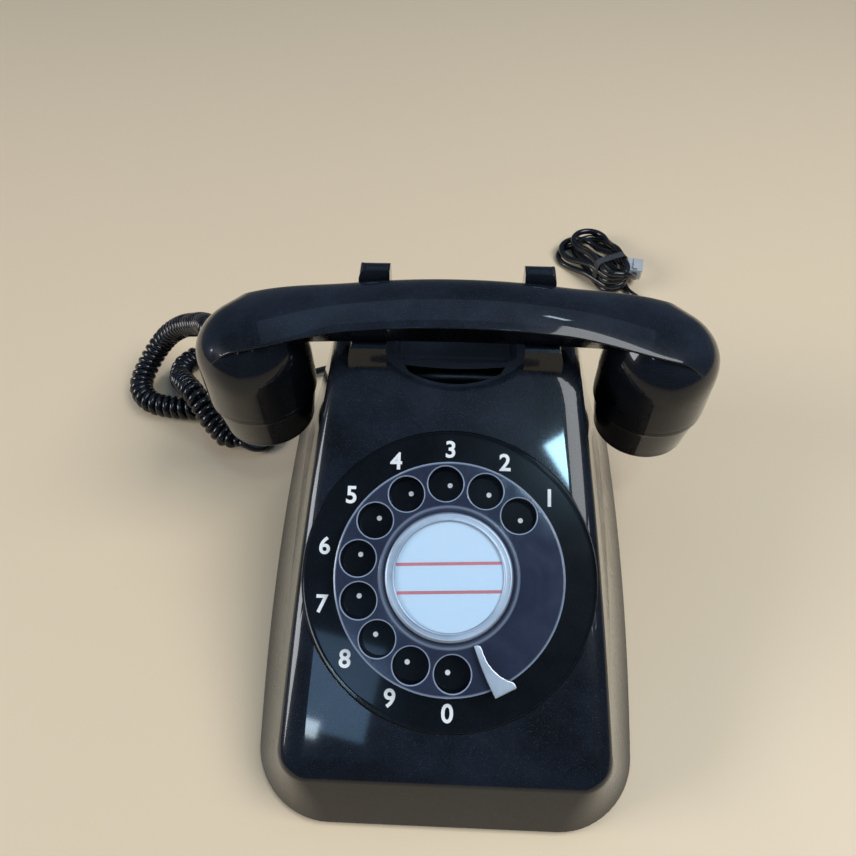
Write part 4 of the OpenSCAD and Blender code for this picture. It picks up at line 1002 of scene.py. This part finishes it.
def makeHandle(h):
    reach = h["cupX"] + h["cupR"] - 9
    bm = ringStack([gripRing(h, reach * k / 56) for k in range(-56, 57)])
    roundEdges(bm, h["edge"], 4, 38, lambda e: abs(e.verts[0].co.x - e.verts[1].co.x) > 0.0005)
    body = toolFrom(bm)
    hollow = [(0, h["seamZ"] - 1), (h["bore"], h["seamZ"] - 1), (h["bore"], h["seamZ"] + 18),
              (h["bore"] - 7, h["seamZ"] + 18), (h["bore"] - 7, h["seamZ"] + 27), (0, h["seamZ"] + 27)]
    for side in (-1, 1):
        carve(body, makeCup(h, side), "UNION")
        carve(body, toolFrom(turned(hollow, 96, False), moved(side * h["cupX"], h["y"])))
    carve(body, toolFrom(drum(h["cordBore"], 0, h["cupR"] + 5, 32, cordWay(h))))
    addPiece("handset_body", bmFrom(body), "handset", glossBlack, ("handset_handle",),
             sharp=28)


makeHandle(handset)


def makeCap(h, side):
    low, seam, r, neck = h["seamZ"] - h["capH"], h["seamZ"], h["cupR"], h["bore"] - 0.1
    bm = turned([(0, low + 0.5), (r - 8, low + 0.25), (r - 6.2, low, 0.3), (r - 3.5, low, 1.4),
                 (r - 3.25, low + 3, 0.8), (r - 0.9, seam - 3.2, 0.3), (r - 0.2, seam - 2.4, 0.2),
                 (r - 0.2, seam - 0.15, 0.25), (neck, seam - 0.15), (neck, seam + 5), (neck - 1.7, seam + 5),
                 (neck - 1.7, low + 12), (neck - 4.2, low + 12), (neck - 5.2, low + 2.2), (0, low + 2.2)],
                128, False)
    name, spots = "transmitter", [(9 if i % 2 == 0 else 5, 30 * i, 1.0) for i in range(12)]
    if side > 0:
        name, spots = "receiver", [(0, 0, 1.2)] + [(5.5, 60 * i, 1.2) for i in range(6)]
    body = toolFrom(bm)
    for reach, angle, size in spots:
        place = moved(*onCircle((0, 0), reach, math.radians(angle)))
        carve(body, toolFrom(drum(size, low - 1, low + 4, 20, place)))
    addPiece(name + "_cap_turned", bmFrom(body), "handset", capBlack, (name + "_cap",),
             moved(side * h["cupX"], h["y"]))


makeCap(handset, 1)
makeCap(handset, -1)
print("handset made")

# ---- small outside parts ----

relief = dict(flange=4.4, root=3.4, tip=2.4, ribs=4)


def makeRelief(name, body, stands, place, start, length, r):
    # flange and a tapered sleeve with rounded ribs
    points = [(1.9, start - 4), (r["root"] - 0.4, start - 4), (r["root"] - 0.4, start),
              (r["flange"], start, 0.4), (r["flange"], start + 1.9, 0.6), (r["root"] + 0.3, start + 2.1)]
    pace = (length - 2) / r["ribs"]
    for i in range(r["ribs"]):
        at, wide = start + 2 + pace * i, r["root"] + (r["tip"] - r["root"]) * i / r["ribs"]
        points += [(wide, at + 0.25 * pace, 0.25), (wide - 0.1, at + 0.7 * pace, 0.25),
                   (wide - 0.6, at + 0.85 * pace, 0.1)]
    points += [(r["tip"], start + length, 0.3), (1.9, start + length)]
    addPiece(name, turned(points, 40), body, blackRubber, (stands,), place)


makeRelief("handset_cord_relief", "handset", "handset_grommet", cordWay(handset),
           handset["cupR"] + 0.02, 10, relief)
for side, name in ((-1, "handset_cord_entry"), (1, "line_cord_entry")):
    mouth = moved(side * cordHole["x"], shell["halfDepth"] - 0.9, cordHole["z"])
    makeRelief(name, "base", "cord_grommets", mouth @ spun(-math.pi / 2, "X"), 0, 6.5,
               dict(relief, root=3.3, tip=2.6, ribs=2))


def makePlungers(c):
    r = c["plungerR"]
    for side, name in ((-1, "left"), (1, "right")):
        bm = turned([(0, 63.6), (1.2, 63.6, 0.3), (1.2, 67), (r, 67), (r, 67.6), (4.4, 67.6, 0.2),
                     (4.4, 69.6, 0.3), (r, 69.6), (r, 104.05, 1.1), (0, 104.05)], 40, False)
        addPiece("plunger_pin_" + name, bm, "plungers", capBlack, ("plunger_" + name,),
                 moved(side * c["plungerX"], c["handsetY"]))


makePlungers(cradle)

feet = dict(radius=8, height=3.4, x=58.5, taper=5.5, y=82.5)


def makeFeet(f):
    bm = bmesh.new()
    for x, y in ((1, 1), (-1, 1), (1, -1), (-1, -1)):
        one = turned([(0, 0.4), (2, 0.4), (3, 0, 0.3), (f["radius"] - 0.6, 0, 0.5),
                      (f["radius"], f["height"], 0.1), (0, f["height"])], 48, False)
        one.transform(moved(x * (f["x"] - (f["taper"] if y < 0 else 0)), y * f["y"]))
        absorb(bm, one, "foot")
    addPiece("rubber_feet_set", bm, "base", blackRubber, ("rubber_feet",))


makeFeet(feet)

plug = dict(place=(112.2, 211, 0), angle=math.radians(80), length=12.2, half=4.8, low=0.3, high=6.9)


def makePlug(p):
    # clear modular plug: shouldered block, row of contact slots, springy latch
    n, w = p["length"], p["half"]
    bm = slab([(0, -w + 1), (1.2, -w + 0.2), (3.4, -w), (n, -w), (n, w), (3.4, w), (1.2, w - 0.2),
               (0, w - 1)], p["low"], p["high"])
    roundEdges(bm, 0.35, 2, 40)
    body = toolFrom(bm)
    for k in range(4):
        y = (k - 1.5) * 1.25
        slot = [(n - 4.2, y - 0.3), (n + 1, y - 0.3), (n + 1, y + 0.3), (n - 4.2, y + 0.3)]
        carve(body, toolFrom(slab(slot, p["low"] - 1, p["low"] + 1.6)))
    bm = bmFrom(body)
    upright = Matrix(((1, 0, 0, 0), (0, 0, 1, 0), (0, 1, 0, (p["high"] + 0.6) * mm), (0, 0, 0, 1)))
    latch = turnedSlab([(0.4, 0.7), (1.6, 0.75), (n - 1.2, 0), (n - 0.4, -0.6), (n - 1.6, -0.6), (1.4, -0.1)],
                       -1.5, 1.5, upright)
    roundEdges(latch, 0.18, 2, 40)
    absorb(bm, latch, "latch")
    return addPiece("line_plug_body", bm, "base", plugClear, ("line_plug",),
                    moved(*p["place"]) @ spun(p["angle"]))


tie = dict(place=(95.2, 208.5), angle=math.radians(26), half=10.1, low=0.05, high=18.3, width=2.2, thick=0.7)


def makeTie(t):
    # a flat band round all the strands
    rings = []
    for grow in (0, t["thick"]):
        h, low, high, r = t["half"] + grow, max(0.02, t["low"] - grow), t["high"] + grow, 3.2 + grow
        rings.append([])
        for corner, start in (((h - r, low + r), -90), ((h - r, high - r), 0), ((-h + r, high - r), 90),
                              ((-h + r, low + r), 180)):
            rings[-1] += [onCircle(corner, r, math.radians(start + 15 * k)) for k in range(7)]
    bm = bmesh.new()
    loops = []
    for ring, y in ((rings[0], -t["width"]), (rings[1], -t["width"]), (rings[1], t["width"]),
                    (rings[0], t["width"])):
        loops.append(closedRing(bm, [(x, y, z) for x, z in ring])[1])
    bridgeAll(bm, loops + [loops[0]])
    return addPiece("cord_tie_band", bm, "base", blackRubber, ("cord_tie",),
                    moved(*t["place"]) @ spun(t["angle"]))


plugPiece = makePlug(plug)
tiePiece = makeTie(tie)
print("small parts made")

# ---- finishes for the solid parts that stay ----

solidFinishes = [
    (zincSteel, "base_plate dial_frame dial_bridge hook_frame hook_lever ringer_frame"),
    (plainSteel, "housing_screws wheel_screw pulse_shaft governor hook_pin gong_screws clapper"),
    (springSteel, "mainspring hook_spring ringer_magnet"), (printWhite, "finger_dots"),
    (brass, "main_spindle main_gear cam_pinion governor_wheel governor_cup pulse_contacts hook_contacts"
            " network_terminals"),
    (bellBrass, "gong_left gong_right"), (cardRed, "card_stripes"), (ivoryPlastic, "pulse_cam"),
    (coilWinding, "ringer_coils"), (aluminium, "capacitor receiver_capsule transmitter_capsule")]


def dressSolids():
    chosen = {name: finish for finish, names in solidFinishes for name in names.split()}
    for name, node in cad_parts.items():
        finish = chosen.get(name, phenolic)
        if not node.material_slots:
            node.data.materials.append(finish)
        for place in node.material_slots:
            place.link = "OBJECT"
            place.material = finish


dressSolids()

# ---- floor and light ----

room = dict(floor=(0.86, 0.67, 0.45), floorHalf=4.0, world=(0.5, 0.68, 1.0), worldStrength=0.15)
lowAim = (0, 0, 0.06)
backAim = (0, 0.05, 0.12)
# name, place, what it points at, width and height, power, colour
lamps = [("keyPanel", (0.75, -0.12, 1.2), lowAim, (0.85, 0.7), 13, (0.93, 0.97, 1)),
         ("leftPanel", (-1.5, -0.3, 0.8), lowAim, (0.8, 0.5), 14, (0.95, 0.97, 1)),
         ("windowPane", (0.235, -0.335, 1.2), lowAim, (0.06, 0.1), 1.1, (0.45, 0.78, 1)),
         ("frontGlow", (-0.23, -0.86, 1.2), lowAim, (0.17, 0.2), 0.45, (0.35, 0.62, 1)),
         ("frontPane", (-0.30, -0.97, 1.2), lowAim, (0.05, 0.035), 0.12, (0.7, 0.88, 1)),
         ("backGlow", (0.0, 0.68, 1.36), backAim, (2.2, 0.93), 2.2, (0.5, 0.7, 1)),
         ("hornLamp", (0.45, 0.57, 1.2), backAim, (0.12, 0.05), 0.3, (0.7, 0.85, 1))]


def makeRoom(r):
    bm = bmesh.new()
    bmesh.ops.create_grid(bm, x_segments=2, y_segments=2, size=r["floorHalf"])
    floor = addObject("floor", meshFrom(bm, "floor"))
    paleTop = makeFinish("paleTop", r["floor"], 0.5, dust=0.0, smear=0.1, smearSize=0.4, hairline=0,
                         grain=0.01, grainSize=0.002, tint=[c * 0.97 for c in r["floor"]])
    floor.data.materials.append(paleTop)
    world = bpy.data.worlds.new("studio")
    bpy.context.scene.world = world
    world.use_nodes = True
    tree = world.node_tree
    tree.nodes.clear()
    sky = addNode(tree, "Background", {"Color": (*r["world"], 1), "Strength": r["worldStrength"]})
    addNode(tree, "OutputWorld", {"Surface": sky.outputs[0]})


def makeLamps(lamps):
    for name, place, aim, size, power, colour in lamps:
        data = bpy.data.lights.new(name, "AREA")
        data.shape = "RECTANGLE"
        data.size, data.size_y = size
        data.energy = power
        data.color = colour
        turn = (Vector(aim) - Vector(place)).to_track_quat("-Z", "Y").to_matrix().to_4x4()
        addObject(name, data).matrix_world = Matrix.Translation(place) @ turn


makeRoom(room)
makeLamps(lamps)
bpy.context.scene.view_settings.view_transform = "Standard"
print("floor and light set")
